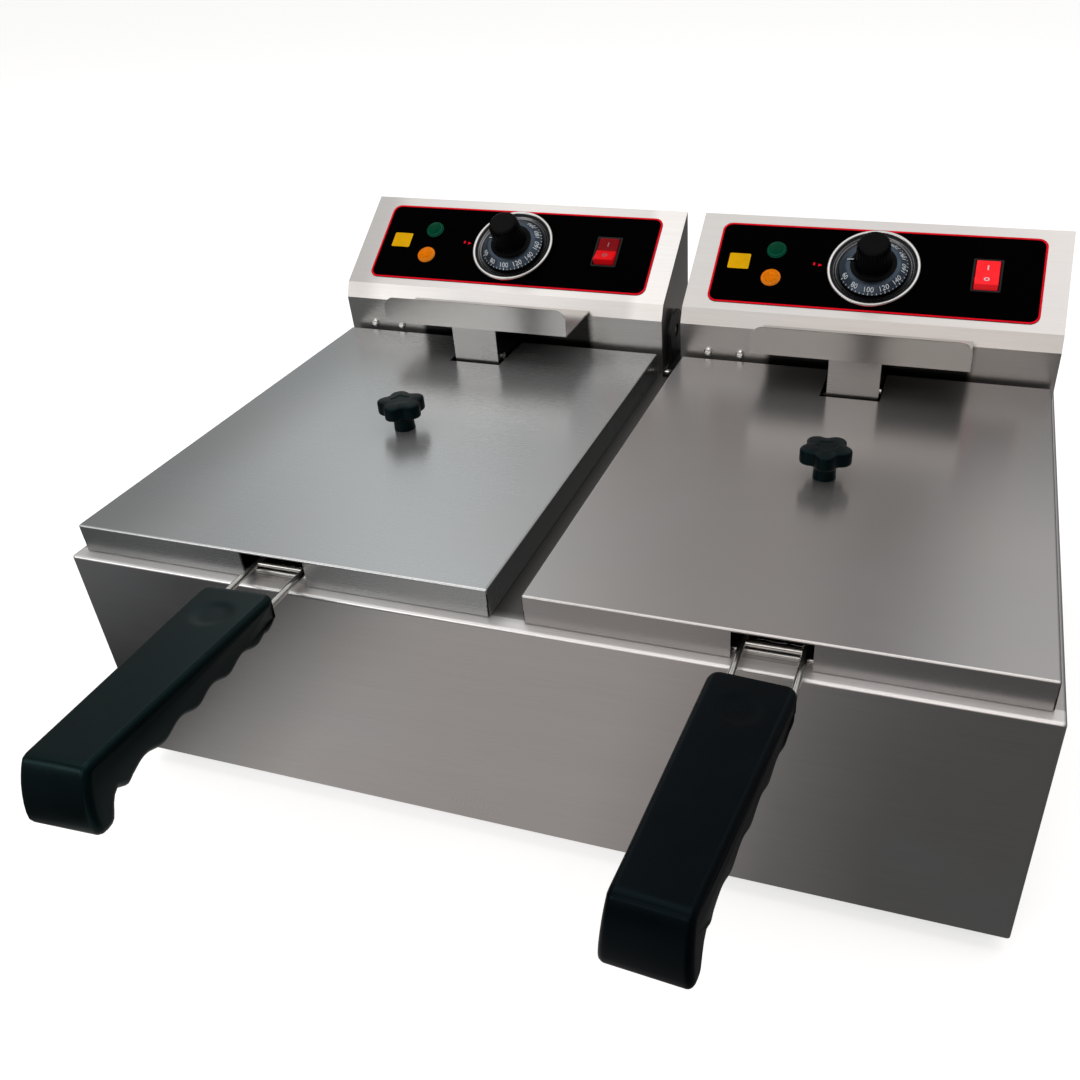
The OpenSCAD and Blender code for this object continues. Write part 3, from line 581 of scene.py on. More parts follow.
# ---------------------------------------------------------------- dial
def bezel(name, side):
    """Polished rim over a dark, smoke-tinted dish."""
    g = Shape()
    out = [(6.1, 0.42), (31.2, 0.42), (31.9, 0.6), (32.0, 1.4), (32.0, 3.0), (31.85, 3.6), (31.4, 4.0), (30.9, 4.15),
           (30.2, 4.05), (29.7, 3.7), (29.45, 3.2)]
    dish = [(29.3, 2.9), (28.9, 2.7), (28.2, 2.62), (27.6, 2.55)]
    step = [(27.3, 2.4), (26.8, 1.9), (26.3, 1.45), (25.8, 1.25)]
    base = [(25.4, 1.2), (20.0, 1.2), (6.1, 1.2), (6.1, 0.42)]
    prof = out + dish + step + base
    m = 128
    rings = [[(r * math.cos(2 * math.pi * j / m), r * math.sin(2 * math.pi * j / m), z) for j in range(m)] for r, z in prof]
    g.rings(rings[:len(out)], True, (False, False), 0)
    a, b = len(out), len(out) + len(dish)
    g.rings(rings[a - 1:b], True, (False, False), 1)
    g.rings(rings[b - 1:b + len(step)], True, (False, False), 2)
    g.rings(rings[b + len(step) - 1:], True, (False, False), 1)
    o = g.make(name + "_bezel_ring", on_slope(side, 0, DIAL_S) @ Matrix.Diagonal((1.025, 1.025, 1, 1)), [MAT["rim"], MAT["dish"], MAT["step"]], weld=True, angle=40)
    return o


def turned(name, side, base, rough, aniso):
    """A turned metal face about the dial's axis: highlights run out from the axis."""
    k = Mat(name, Metallic=1.0, Anisotropic=aniso)
    inv = on_slope(side, 0, DIAL_S).inverted()
    axis = tuple(on_slope(side, 0, DIAL_S).col[2][:3])
    q = k.join(*[k.math("ADD", k.vec("DOT_PRODUCT", k.obj, tuple(inv[i][:3])), inv[i][3]) for i in range(3)])
    x, y, z = k.split(q)
    r = k.math("SQRT", k.math("ADD", k.math("MULTIPLY", x, x), k.math("MULTIPLY", y, y)))
    a = k.noise(k.join(k.math("MULTIPLY", r, 3.0), k.math("MULTIPLY", z, 3.0), 0.0), 1.0, 2.0, 0.7)
    c = k.noise(k.vec("MULTIPLY", k.obj, (160.0, 160.0, 160.0)), 1.0, 2.0)
    f = k.math("ADD", k.remap(a, 0.3, 0.7, 0.8, 1.2), k.math("MULTIPLY", k.math("SUBTRACT", c, 0.5), 0.5))
    k.set("Base Color", k.scale_colour(base, f))
    k.set("Roughness", k.remap(a, 0.3, 0.7, rough - 0.05, rough + 0.05))
    n = k.node("ShaderNodeVectorMath", operation="CROSS_PRODUCT")
    m = k.node("ShaderNodeVectorMath", operation="CROSS_PRODUCT")
    normal = k.node("ShaderNodeNewGeometry").outputs["Normal"]
    length = math.sqrt(sum(v * v for v in axis))
    k.put(m.inputs[0], tuple(v / length for v in axis))
    k.put(m.inputs[1], normal)
    k.put(n.inputs[0], m.outputs[0])
    k.put(n.inputs[1], normal)
    k.set("Tangent", n.outputs[0])
    k.set("Normal", k.bump(a, 0.08, 0.00005))
    return k.m


SKIRT = {n: turned("dial_skirt_" + n, q, (0.052, 0.070, 0.094), 0.34, 0.75) for n, q in SIDES}


def text(body, size, at, turn, matrix, material, name, extrude=0.05):
    """Plain numerals as a thin raised print."""
    cu = bpy.data.curves.new(name, "FONT")
    cu.body, cu.size, cu.extrude = body, size, extrude
    cu.align_x = cu.align_y = "CENTER"
    cu.resolution_u = 3
    o = bpy.data.objects.new(name, cu)
    bpy.context.scene.collection.objects.link(o)
    o.matrix_world = Matrix.Translation(at) @ Matrix.Rotation(turn, 4, "Z")
    bpy.context.view_layer.update()
    me = bpy.data.meshes.new_from_object(o.evaluated_get(bpy.context.evaluated_depsgraph_get()))
    me.transform(matrix @ o.matrix_world)
    bpy.data.objects.remove(o)
    me.materials.clear()
    me.materials.append(material)
    p = bpy.data.objects.new(name, me)
    bpy.context.scene.collection.objects.link(p)
    return p


def join(objs, name):
    """One object from several that keep their own materials."""
    mats, verts, faces, idx = [], [], [], []
    for o in objs:
        n, base = len(verts), {}
        for i, m in enumerate(o.data.materials):
            if m not in mats:
                mats.append(m)
            base[i] = mats.index(m)
        mw = o.matrix_world
        verts += [mw @ v.co for v in o.data.vertices]
        for p in o.data.polygons:
            faces.append(tuple(i + n for i in p.vertices))
            idx.append(base.get(p.material_index, 0))
    me = bpy.data.meshes.new(name)
    me.from_pydata([tuple(v) for v in verts], [], faces)
    for m in mats:
        me.materials.append(m)
    me.polygons.foreach_set("material_index", idx)
    for o in objs:
        bpy.data.objects.remove(o)
    o = bpy.data.objects.new(name, me)
    bpy.context.scene.collection.objects.link(o)
    return o


POINTER = 172.0  # the pointer's direction on the panel, from the right, anticlockwise


def dial(name, side):
    """Skirted dial: a cone skirt with numerals, a tall ribbed grip, and the spindle."""
    mt = on_slope(side, 0, DIAL_S)
    g = Shape()
    edge = [(21.5, 1.8), (24.3, 1.8), (24.55, 2.1), (24.5, 3.0), (24.1, 3.5)]
    cone = [(24.1, 3.5), (19.6, 7.0), (18.9, 7.35), (18.0, 7.45), (16.4, 7.5)]

    def ribs(a, r, z):
        if z > 9 and r > 8:
            w = min(1.0, (z - 9) / 2) * (0.42 if z < 27.2 else 0.25)
            return r + w * (abs(math.cos(a * 12)) - 0.6)
        return r
    top = [(16.4, 7.5), (14.2, 7.8), (13.1, 8.4), (12.6, 9.4), (12.3, 10.5)] + [(12.2 - 0.75 * i / 8, 10.5 + 15.6 * i / 8) for i in range(1, 9)]
    top += [(11.3, 27.0), (11.05, 27.9), (10.6, 28.7), (9.9, 29.2), (8.9, 29.4), (6.0, 29.3), (2.0, 29.25), (0.02, 29.25)]
    m = 192
    rings = [[(ribs(2 * math.pi * j / m, r, z) * math.cos(2 * math.pi * j / m), ribs(2 * math.pi * j / m, r, z) * math.sin(2 * math.pi * j / m), z)
              for j in range(m)] for r, z in edge + cone[1:] + top[1:]]
    a, b = len(edge), len(edge) + len(cone) - 1
    g.rings(rings[:a], True, (True, False), 0)
    g.rings(rings[a - 1:b], True, (False, False), 1)
    g.rings(rings[b - 1:], True, (False, True), 0)
    g.lathe([(21.5, 1.8), (21.5, 3.2), (3.0, 3.2), (3.0, -16.0), (0.02, -16.0)], 48)
    # raised pointer bar down the side of the grip, and across its top, in line with the first mark
    ca = math.radians(POINTER)
    rad, tan = Vector((math.cos(ca), math.sin(ca), 0)), Vector((-math.sin(ca), math.cos(ca), 0))
    for sgn in (1,):
        sec = [(18.6, 7.35), (13.4, 8.6), (12.8, 12.0), (12.2, 20.0), (11.7, 27.6), (10.4, 29.3), (8.4, 29.3), (8.4, 8.0)]
        g.rings([[rad * r + tan * w + Vector((0, 0, z)) for r, z in sec] for w in (-0.8, 0.8)])
    body = g.make(name + "_dial_body", mt, [MAT["black"], SKIRT[name]], angle=28, weld=False)
    return body


def dial_marks(name, side, turn):
    """Numerals on the skirt, from the mark at the left round to the upper right; the ticks use the skirt placement it
    returns.
    """
    mt = on_slope(side, 0, DIAL_S)
    objs = []
    tilt = math.atan2(3.5, 4.5)
    values = ["60", "80", "100", "120", "140", "160", "180", "200"]

    def skirt(a, rr):
        """Matrix on the cone skirt at angle a and radius rr, Y pointing to the axis."""
        z = 3.5 + (24.1 - rr) * 3.5 / 4.5
        return (mt @ Matrix.Rotation(a, 4, "Z") @ Matrix.Translation((rr, 0, z))
                @ Matrix.Rotation(tilt, 4, "Y") @ Matrix.Rotation(math.pi / 2, 4, "Z"))
    start, span = math.radians(-150 + turn), math.radians(205)
    for i, v in enumerate(values):
        a = start + span * i / (len(values) - 1)
        objs.append(text(v, 5.2, (0, 0, 0.02), 0, skirt(a, 21.2), MAT["print_silver"], f"{name}_num_{i}", 0.03))
    return objs, skirt, start, span


# ---------------------------------------------------------------- star knob
def star(name, side):
    """Five-lobed hand knob on a conical neck."""
    g = Shape()
    m = 160
    turn = 49.6 if side < 0 else 60.5

    def lobe(a):
        best = 0.0
        for i in range(5):
            c = math.radians(i * 72 + turn)
            # distance from the axis to the lobe circle along the angle a
            d, rr = 9.9, 5.9
            q = d * math.cos(a - c)
            s2 = rr * rr - (d * math.sin(a - c)) ** 2
            if s2 > 0 and q > 0:
                best = max(best, q + math.sqrt(s2))
        valley = 12.3
        return best, valley

    def outline(a):
        b, v = lobe(a)
        # smooth union of lobe and valley circle
        x = max(b, 0.0)
        k = 2.0
        h = max(0.0, min(1.0, 0.5 + 0.5 * (x - v) / k))
        return v * (1 - h) + x * h + k * h * (1 - h)

    def ring(scale, z, neck=None, blend=0.0):
        pts = []
        for j in range(m):
            a = 2 * math.pi * j / m
            r = outline(a) * scale
            if neck is not None:
                r = r * (1 - blend) + neck * blend
            pts.append((r * math.cos(a), r * math.sin(a), z))
        return pts
    rings = [ring(1, 0.05, 7.0, 1.0), ring(1, 3, 6.8, 1.0), ring(1, 7, 6.7, 1.0), ring(1, 8.6, 7.2, 1.0), ring(1, 9.7, 8.4, 1.0),
             ring(1, 10.6, 9.8, 0.85), ring(0.93, 11.1, 11, 0.4), ring(0.965, 11.35), ring(0.99, 11.8), ring(1.0, 12.6),
             ring(1.0, 15.6), ring(0.998, 18.6), ring(0.985, 19.35), ring(0.955, 19.8), ring(0.91, 20.05), ring(0.84, 20.25),
             ring(0.70, 20.55), ring(0.55, 20.75), ring(0.42, 20.85), ring(0.38, 20.75), ring(0.36, 20.45), ring(0.2, 20.4), ring(0.02, 20.4)]
    g.rings(rings, True, (True, True))
    return g.make(name + "_star_knob", place(side) @ Matrix.Translation((0, 167.5, 169.6)), [MAT["knob"]], angle=40)


# ---------------------------------------------------------------- grips
def profile_points():
    """Side outline of the grip: x forward from its rear end, z up. Counted round from the rear top."""
    pts = []

    def arc(cx, cz, r, a0, a1, n):
        for i in range(n + 1):
            a = math.radians(a0 + (a1 - a0) * i / n)
            pts.append((cx + r * math.cos(a), cz + r * math.sin(a)))
    L = 139.0
    arc(3.2, -3.2, 3.2, 180, 90, 6)                     # rear top corner
    n = 80
    for i in range(1, n):
        x = 3.2 + (L - 3.6 - 3.2) * i / n
        pts.append((x, 0.0))
    # nose: a tight bend down to the raked, hooked front
    nose = [(L - 3.6, 0.0), (L - 1.9, -0.12), (L - 0.4, -0.55), (L + 0.8, -1.4), (L + 1.7, -2.7), (L + 2.9, -5.0), (L + 4.3, -8.4), (L + 5.6, -12.2),
            (L + 6.8, -16.4), (L + 7.6, -20.6), (L + 7.9, -24.6), (L + 7.6, -27.6), (L + 6.4, -29.6), (L + 4.4, -30.7),
            (L + 1.6, -31.0), (L - 1.4, -30.6), (L - 3.6, -29.1), (L - 5.1, -26.6), (L - 6.6, -23.8), (L - 8.6, -21.6), (L - 10.8, -20.4)]
    pts += nose
    x = L - 12.4
    while x > 13.6:
        z = -(17.6 + 0.045 * x) + 0.35 - 1.75 * math.cos(2 * math.pi * (x - 46) / 25)
        w = min(1.0, (L - 12.4 - x) / 6.0 + 0.35)
        pts.append((x, z * w + (1 - w) * -20.6))
        x -= 1.5
    pts += [(12.0, -18.3), (9.6, -18.0), (7.2, -17.2)]
    arc(4.2, -12.6, 4.2, 235, 180, 4)
    return pts


def grip(name, side, x0, y, z, yaw, rise, roll, material):
    base = profile_points()
    # drop near duplicates
    pts = [base[0]]
    for p in base[1:]:
        if math.hypot(p[0] - pts[-1][0], p[1] - pts[-1][1]) > 0.35:
            pts.append(p)
    n = len(pts)
    nor = []
    for i in range(n):
        a, b = pts[i - 1], pts[(i + 1) % n]
        d = Vector((b[0] - a[0], b[1] - a[1])).normalized()
        nor.append((d[1], -d[0]))
    area = sum(pts[i - 1][0] * pts[i][1] - pts[i][0] * pts[i - 1][1] for i in range(n))
    if area > 0:
        inward = [(-q[0], -q[1]) for q in nor]
    else:
        inward = nor
    HW, E = 21.5, 3.6
    deep = 4.0 if side < 0 else 3.0
    layers = []
    for deg in (90, 78, 64, 50, 36, 22, 10, 0):
        a = math.radians(deg)
        layers.append((HW - E + E * math.sin(a), E * (1 - math.cos(a))))
    inner = [16.6, 15.0, 13.0, 11.0, 9.0, 7.0, 5.2, 3.4, 1.7, 0.0]
    half = layers + [(q, 0.0) for q in inner]
    full = [(-y_, i_) for y_, i_ in half] + [(y_, i_) for y_, i_ in half[::-1][1:]]

    def width(x, z):
        """Half width: rounded rear corners, narrower towards the nose, a little wider down the hook."""
        R0 = 6.5
        k = R0 - math.sqrt(max(0.0, R0 * R0 - (R0 - x) ** 2)) if x < R0 else 0.0
        t = max(0.0, min(1.0, (x - 118.0) / 16.0)) * max(0.0, min(1.0, -z / 28.0))
        return HW - 4.7 * max(0.0, min(1.0, x / 139.0)) + 2.2 * t - k * 0.9

    rings = []
    for yy, ins in full:
        ring = []
        for (px, pz), (nx, nz) in zip(pts, inward):
            x, zz = px + nx * ins, pz + nz * ins
            lat = yy * width(max(0.0, x), zz) / HW
            if pz > -0.6:
                zz -= 0.35 * (lat / HW) ** 2
                # shallow pressed ring near the rear end
                d = math.hypot(px - 25.0, lat)
                if d < 13.5:
                    zz -= 0.6 * (0.5 + 0.5 * math.cos(math.pi * min(1.0, abs(d - 6.5) / 5.5))) if d > 6.5 else 0.6
            # the hook under the nose runs a little deeper than the profile
            zz -= deep * max(0.0, min(1.0, (x - 118.0) / 10.0)) * max(0.0, min(1.0, (-zz - 12.0) / 20.0))
            ring.append((x, lat, zz))
        rings.append(ring)
    g = Shape()
    g.rings(rings, True, (True, True))
    tr = (place(side) @ Matrix.Translation((x0, y, z)) @ Matrix.Rotation(math.radians(yaw), 4, "Z")
          @ Matrix.Rotation(math.radians(-rise), 4, "X") @ Matrix.Rotation(math.radians(roll), 4, "Y")
          @ Matrix(((0, 1, 0, 0), (-1, 0, 0, 0), (0, 0, 1, 0), (0, 0, 0, 1))))
    o = g.make(name + "_grip_moulding", tr, [material], angle=50)
    return o


# ---------------------------------------------------------------- basket mesh
def basket(name, side):
    """Woven wire box: uprights, level wires and a crossed floor, under the rim rod."""
    X0, X1, Ya, Yb, Z0, Z1, RC = -94.6, 94.6, 40.4, 258.6, 56.0, 146.0, 11.0
    g = Shape()
    pitch, wr = 6.2, 0.55
    # outline of the walls, as points at even spacing
    def outline():
        segs = []
        sx, sy = X1 - X0 - 2 * RC, Yb - Ya - 2 * RC
        total = 2 * sx + 2 * sy + 2 * math.pi * RC
        n = int(round(total / pitch / 2)) * 2
        out = []
        for i in range(n):
            s = total * i / n
            def corner(cx, cy, a0, q):
                a = a0 + q / RC
                return (cx + RC * math.cos(a), cy + RC * math.sin(a), math.cos(a), math.sin(a))
            qc = math.pi * RC / 2
            if s < sx:
                out.append((X0 + RC + s, Ya, 0, -1))
            elif s < sx + qc:
                out.append(corner(X1 - RC, Ya + RC, -math.pi / 2, s - sx))
            elif s < sx + qc + sy:
                out.append((X1, Ya + RC + s - sx - qc, 1, 0))
            elif s < sx + 2 * qc + sy:
                out.append(corner(X1 - RC, Yb - RC, 0, s - sx - qc - sy))
            elif s < 2 * sx + 2 * qc + sy:
                out.append((X1 - RC - (s - sx - 2 * qc - sy), Yb, 0, 1))
            elif s < 2 * sx + 3 * qc + sy:
                out.append(corner(X0 + RC, Yb - RC, math.pi / 2, s - 2 * sx - 2 * qc - sy))
            elif s < 2 * sx + 3 * qc + 2 * sy:
                out.append((X0, Yb - RC - (s - 2 * sx - 3 * qc - sy), -1, 0))
            else:
                out.append(corner(X0 + RC, Ya + RC, math.pi, s - 2 * sx - 3 * qc - 2 * sy))
        return out
    o = outline()
    nz = int(round((Z1 - Z0 - 6) / pitch))
    zs = [Z0 + 6 + (Z1 - Z0 - 6) * i / nz for i in range(nz + 1)]
    w = wr * 0.95
    for i, (x, y, nx, ny) in enumerate(o):
        pts = []
        # foot turned in under the floor
        pts.append((x - nx * 5.0, y - ny * 5.0, Z0 + 0.2))
        pts.append((x - nx * 1.6, y - ny * 1.6, Z0 + 1.4))
        for k_, z in enumerate(zs):
            d = w if (i + k_) % 2 else -w
            pts.append((x + nx * d, y + ny * d, z))
        g.tube(pts, wr, 6)
    for k_, z in enumerate(zs[:-1]):
        pts = []
        for i, (x, y, nx, ny) in enumerate(o):
            d = -w if (i + k_) % 2 else w
            pts.append((x + nx * d, y + ny * d, z))
        g.tube(pts, wr, 6, loop=True)
    fx, fy = int((X1 - X0) / pitch), int((Yb - Ya) / pitch)

    def inset_at(v, a, b):
        """How far a floor wire is shortened by the rounded corners."""
        e = min(v - a, b - v)
        return RC - math.sqrt(max(0.0, RC * RC - (RC - e) ** 2)) if e < RC else 0.0
    for i in range(1, fx):
        x = X0 + (X1 - X0) * i / fx
        e = inset_at(x, X0, X1) + 2.0
        ys = [Ya + (Yb - Ya) * j / fy for j in range(1, fy)]
        ys = [Ya + e] + [y for y in ys if Ya + e + 1 < y < Yb - e - 1] + [Yb - e]
        g.tube([(x, y, Z0 + 0.9 + (w if (i + j) % 2 else -w)) for j, y in enumerate(ys)], wr, 6)
    for j in range(1, fy):
        y = Ya + (Yb - Ya) * j / fy
        e = inset_at(y, Ya, Yb) + 2.0
        xs = [X0 + (X1 - X0) * i / fx for i in range(1, fx)]
        xs = [X0 + e] + [x for x in xs if X0 + e + 1 < x < X1 - e - 1] + [X1 - e]
        g.tube([(x, y, Z0 + 0.9 + (-w if (i + j) % 2 else w)) for i, x in enumerate(xs)], wr, 6)
    return g.make(name + "_wire_basket", place(side), [MAT["wire"]], angle=60)


# ---------------------------------------------------------------- panel print
def rounded_rect(w, h, r, n=10):
    pts = []
    for cx, cy, a0 in ((w / 2 - r, h / 2 - r, 0), (-w / 2 + r, h / 2 - r, 90), (-w / 2 + r, -h / 2 + r, 180), (w / 2 - r, -h / 2 + r, 270)):
        for i in range(n + 1):
            a = math.radians(a0 + 90 * i / n)
            pts.append((cx + r * math.cos(a), cy + r * math.sin(a)))
    return pts


def band(g, outer, inner, z0, z1, mat=0):
    """A flat closed band between two outlines of the same count."""
    n = len(outer)
    rings = [[(x, y, z0) for x, y in outer], [(x, y, z1) for x, y in outer], [(x, y, z1) for x, y in inner], [(x, y, z0) for x, y in inner]]
    verts = [p for r in rings for p in r]
    faces = []
    for i in range(4):
        k = (i + 1) % 4
        for j in range(n):
            q = (j + 1) % n
            faces.append((i * n + j, i * n + q, k * n + q, k * n + j))
    g.put(verts, faces, mat)


def prism(g, pts, z0, z1, mat=0):
    g.rings([[(x, y, z0) for x, y in pts], [(x, y, z1) for x, y in pts]], mat=mat)


def panel_print(name, side):
    g = Shape()
    w, h = 231.5, 71.5
    band(g, rounded_rect(w - 0.2, h - 0.2, 7.0), rounded_rect(w - 2.9, h - 2.9, 5.9), 0.40, 0.46, 0)
    # pointer beside the dial, and a plain C-shaped mark under it
    cx, cy = -38.0, DIAL_S - 42.25
    prism(g, [(cx - 1.6, cy + 2.9), (cx - 1.6, cy + 0.1), (cx + 1.2, cy + 1.5)], 0.40, 0.46, 0)
    prism(g, [(cx - 5.4, cy + 3.4), (cx - 5.4, cy + 1.0), (cx - 4.0, cy + 1.0), (cx - 4.0, cy + 3.4)], 0.40, 0.45, 0)
    prism(g, [(-98 + x, 43.5 - 42.25 + y) for x, y in rounded_rect(15.8, 13.5, 1.0, 5)], 0.40, 0.46, 1)
    return g.make(name + "_panel_print", on_slope(side, 0, 42.25), [MAT["print_red"], MAT["tab"]], angle=30)


# ---------------------------------------------------------------- rocker
def rocker_material(name, side, dark):
    k = Mat("red_rocker_" + name, Roughness=0.24, Specular_IOR_Level=0.03)
    a = k.noise(k.obj, 700.0, 2.0)
    c = k.noise(k.obj, 110.0, 2.0)
    # the upper half is darker and glows less: cut across the cap at its waist
    inv = on_slope(side, 77.7, 42.9).inverted()
    up = k.math("ADD", k.vec("DOT_PRODUCT", k.obj, tuple(inv[1][:3])), inv[1][3])
    half = k.remap(up, -0.6, 0.6, 0.0, dark, smooth=True)
    red = k.mix(k.remap(c, 0.35, 0.65, 0, 1), (0.80, 0.002, 0.005) if dark else (0.98, 0.018, 0.024), (0.88, 0.004, 0.008) if dark else (1.0, 0.03, 0.036))
    k.set("Base Color", k.mix(half, red, (0.12, 0.004, 0.007)))
    k.set("Emission Color", k.mix(half, (1.0, 0.02, 0.03), (0.25, 0.004, 0.006)))
    k.set("Emission Strength", 0.08 if dark else 0.34)
    k.set("Normal", k.bump(a, 0.06, 0.0001))
    return k.m


ROCKER = {"left": rocker_material("left", -1, 0.85), "right": rocker_material("right", 1, 0.0)}


def rocker(name, side):
    """A see-saw cap with two dished halves, its trunnions, and the I and O marks."""
    mt = on_slope(side, 77.7, 42.9) @ Matrix.Translation((0, 0, -3)) @ Matrix.Rotation(math.radians(-8), 4, "X")
    g = Shape()
    hw = 8.0
    # top outline from the lower end to the upper end: each half is slightly hollow
    top = []
    for i in range(0, 33):
        y = -11.0 + 22.0 * i / 32
        t = abs(y) / 11.0
        z = 5.85 + 1.55 * t - 0.35 * math.sin(math.pi * t)
        top.append((y, z))
    prof = [(-10.2, 0.0), (-11.4, 1.2), (-11.6, 3.0), (-11.42, 5.6), (-11.3, 7.0)] + top[1:-1] + \
           [(11.3, 7.0), (11.42, 5.6), (11.6, 3.0), (11.3, 1.2), (10.2, 0.0), (4, -4), (-4, -4)]
    layers = [(-hw, 0.45), (-hw + 0.13, 0.18), (-hw + 0.45, 0.0), (-4, 0), (0, 0), (4, 0), (hw - 0.45, 0.0), (hw - 0.13, 0.18), (hw, 0.45)]
    cx = sum(p[0] for p in prof) / len(prof)
    rings = []
    for x, ins in layers:
        ring = []
        for y, z in prof:
            ring.append((x, y * (1 - ins / 11.7), z - (ins if z > 4 else 0)))
        rings.append(ring)
    g.rings(rings)
    g2 = [(x, 1.5 * math.cos(a * math.pi / 12), 1.5 * math.sin(a * math.pi / 12)) for x in (-8.28, 8.28) for a in range(24)]
    g.rings([g2[:24], g2[24:]])
    o = g.make(name + "_rocker_cap", mt, [ROCKER[name]], angle=40)
    # the marks: a bar on the upper half, a ring on the lower half
    k = Shape()
    def on_cap(y):
        t = abs(y) / 11.0
        return 5.85 + 1.55 * t - 0.35 * math.sin(math.pi * t)
    bar = [(-0.45, 3.4), (0.45, 3.4), (0.45, 7.4), (-0.45, 7.4)]
    k.rings([[(x, y, on_cap(y) + h) for x, y in bar] for h in (-0.05, 0.07)])
    n = 32
    for r0, r1 in ((1.15, 1.95),):
        ri = [[(r * math.cos(2 * math.pi * j / n), -5.6 + r * math.sin(2 * math.pi * j / n)) for j in range(n)] for r in (r1, r0)]
        rings = [[(x, y, on_cap(y) - 0.05) for x, y in ri[0]], [(x, y, on_cap(y) + 0.07) for x, y in ri[0]],
                 [(x, y, on_cap(y) + 0.07) for x, y in ri[1]], [(x, y, on_cap(y) - 0.05) for x, y in ri[1]]]
        k.rings(rings + [rings[0]], True, (False, False))
    mk = k.make(name + "_rocker_marks", mt, [MAT["print_white"] if name == "right" else MAT["print_dim"]], smooth=False)
    return o, mk


def switch_bezel(name, side):
    """Snap-in switch body: rounded flange, sunk opening, box below it and three tags."""
    g = Shape()
    n = 10

    def loop(hw, hh, r, z):
        return [(x, y, z) for x, y in rounded_rect(2 * hw, 2 * hh, r, n)]
    rings = [loop(9.2, 12.9, 0.6, -20), loop(9.2, 12.9, 0.6, 0.41), loop(10.35, 14.0, 1.2, 0.41), loop(10.35, 14.0, 1.2, 1.5),
             loop(10.2, 13.85, 1.15, 1.95), loop(9.85, 13.5, 1.0, 2.2), loop(8.95, 12.8, 0.9, 2.2), loop(8.55, 12.4, 0.8, 1.9),
             loop(8.36, 12.21, 0.7, 1.4), loop(8.36, 12.21, 0.7, -14)]
    g.rings(rings, True, (False, False))
    g.put(rings[0], [tuple(range(len(rings[0])))])
    g.put(rings[-1], [tuple(range(len(rings[0])))])
    for y in (-8, 0, 8):
        g.rings([[(x, y + q, z) for x, q in ((-2.4, -0.4), (2.4, -0.4), (2.4, 0.4), (-2.4, 0.4))] for z in (-28, -19)])
    return g.make(name + "_switch_bezel", on_slope(side, 77.7, 42.9), [MAT["frame_black"]], angle=24, weld=True)


# ---------------------------------------------------------------- build both units
for name, s in SIDES:
    b = bezel(name, s)
    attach(b, f"{name}_head"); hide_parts(f"{name}_thermostat_bezel")

    d = dial(name, s)
    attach(d, f"{name}_dial"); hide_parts(f"{name}_thermostat_knob")
    marks, skirt, start, span = dial_marks(name, s, 0.0)
    g = Shape()
    for i in range(29):
        a = start + span * i / 28
        mt = skirt(a, 23.6 if i % 4 == 0 else 23.75)
        q = 0.28 if i % 4 == 0 else 0.2
        l = 0.75 if i % 4 == 0 else 0.5
        pts = [mt @ Vector(p) for p in ((-q, -l, 0.0), (q, -l, 0.0), (q, l, 0.0), (-q, l, 0.0), (-q, -l, 0.07), (q, -l, 0.07), (q, l, 0.07), (-q, l, 0.07))]
        g.put(pts, [(0, 3, 2, 1), (4, 5, 6, 7), (0, 1, 5, 4), (1, 2, 6, 5), (2, 3, 7, 6), (3, 0, 4, 7)])
    # index line on the grip's left
    mt = on_slope(s, 0, DIAL_S) @ Matrix.Rotation(math.radians(POINTER), 4, "Z")
    line = [(-0.32, 0), (0.32, 0)]
    g.put([mt @ Vector(p) for p in ((19.2, -0.3, 7.35), (19.2, 0.3, 7.35), (14.4, 0.3, 8.75), (14.4, -0.3, 8.75),
                                    (19.2, -0.3, 7.5), (19.2, 0.3, 7.5), (14.4, 0.3, 8.9), (14.4, -0.3, 8.9))],
          [(0, 3, 2, 1), (4, 5, 6, 7), (0, 1, 5, 4), (1, 2, 6, 5), (2, 3, 7, 6), (3, 0, 4, 7)])
    ticks = g.make(name + "_ticks", None, [MAT["print_silver"]], smooth=False)
    m = join(marks + [ticks], name + "_dial_numerals")
    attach(m, f"{name}_dial")

    k = star(name, s)
    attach(k, f"{name}_lid_body"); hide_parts(f"{name}_lid_knob")

    if s < 0:
        h = grip(name, s, 0.5, -22, 168, 2.5, 3.0, 0.0, MAT["grip_left"])
    else:
        h = grip(name, s, -2.4, -22, 168, -3.6, 3.0, 0.0, MAT["grip_right"])
    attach(h, f"{name}_basket"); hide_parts(f"{name}_handle_grip")

    w = basket(name, s)
    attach(w, f"{name}_basket"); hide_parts(f"{name}_basket_mesh")

    p = panel_print(name, s)
    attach(p, f"{name}_head")

    r, rm = rocker(name, s)
    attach(r, f"{name}_rocker"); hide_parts(f"{name}_switch_rocker")
    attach(rm, f"{name}_rocker")

    sf = switch_bezel(name, s)
    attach(sf, f"{name}_head"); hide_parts(f"{name}_switch_frame")

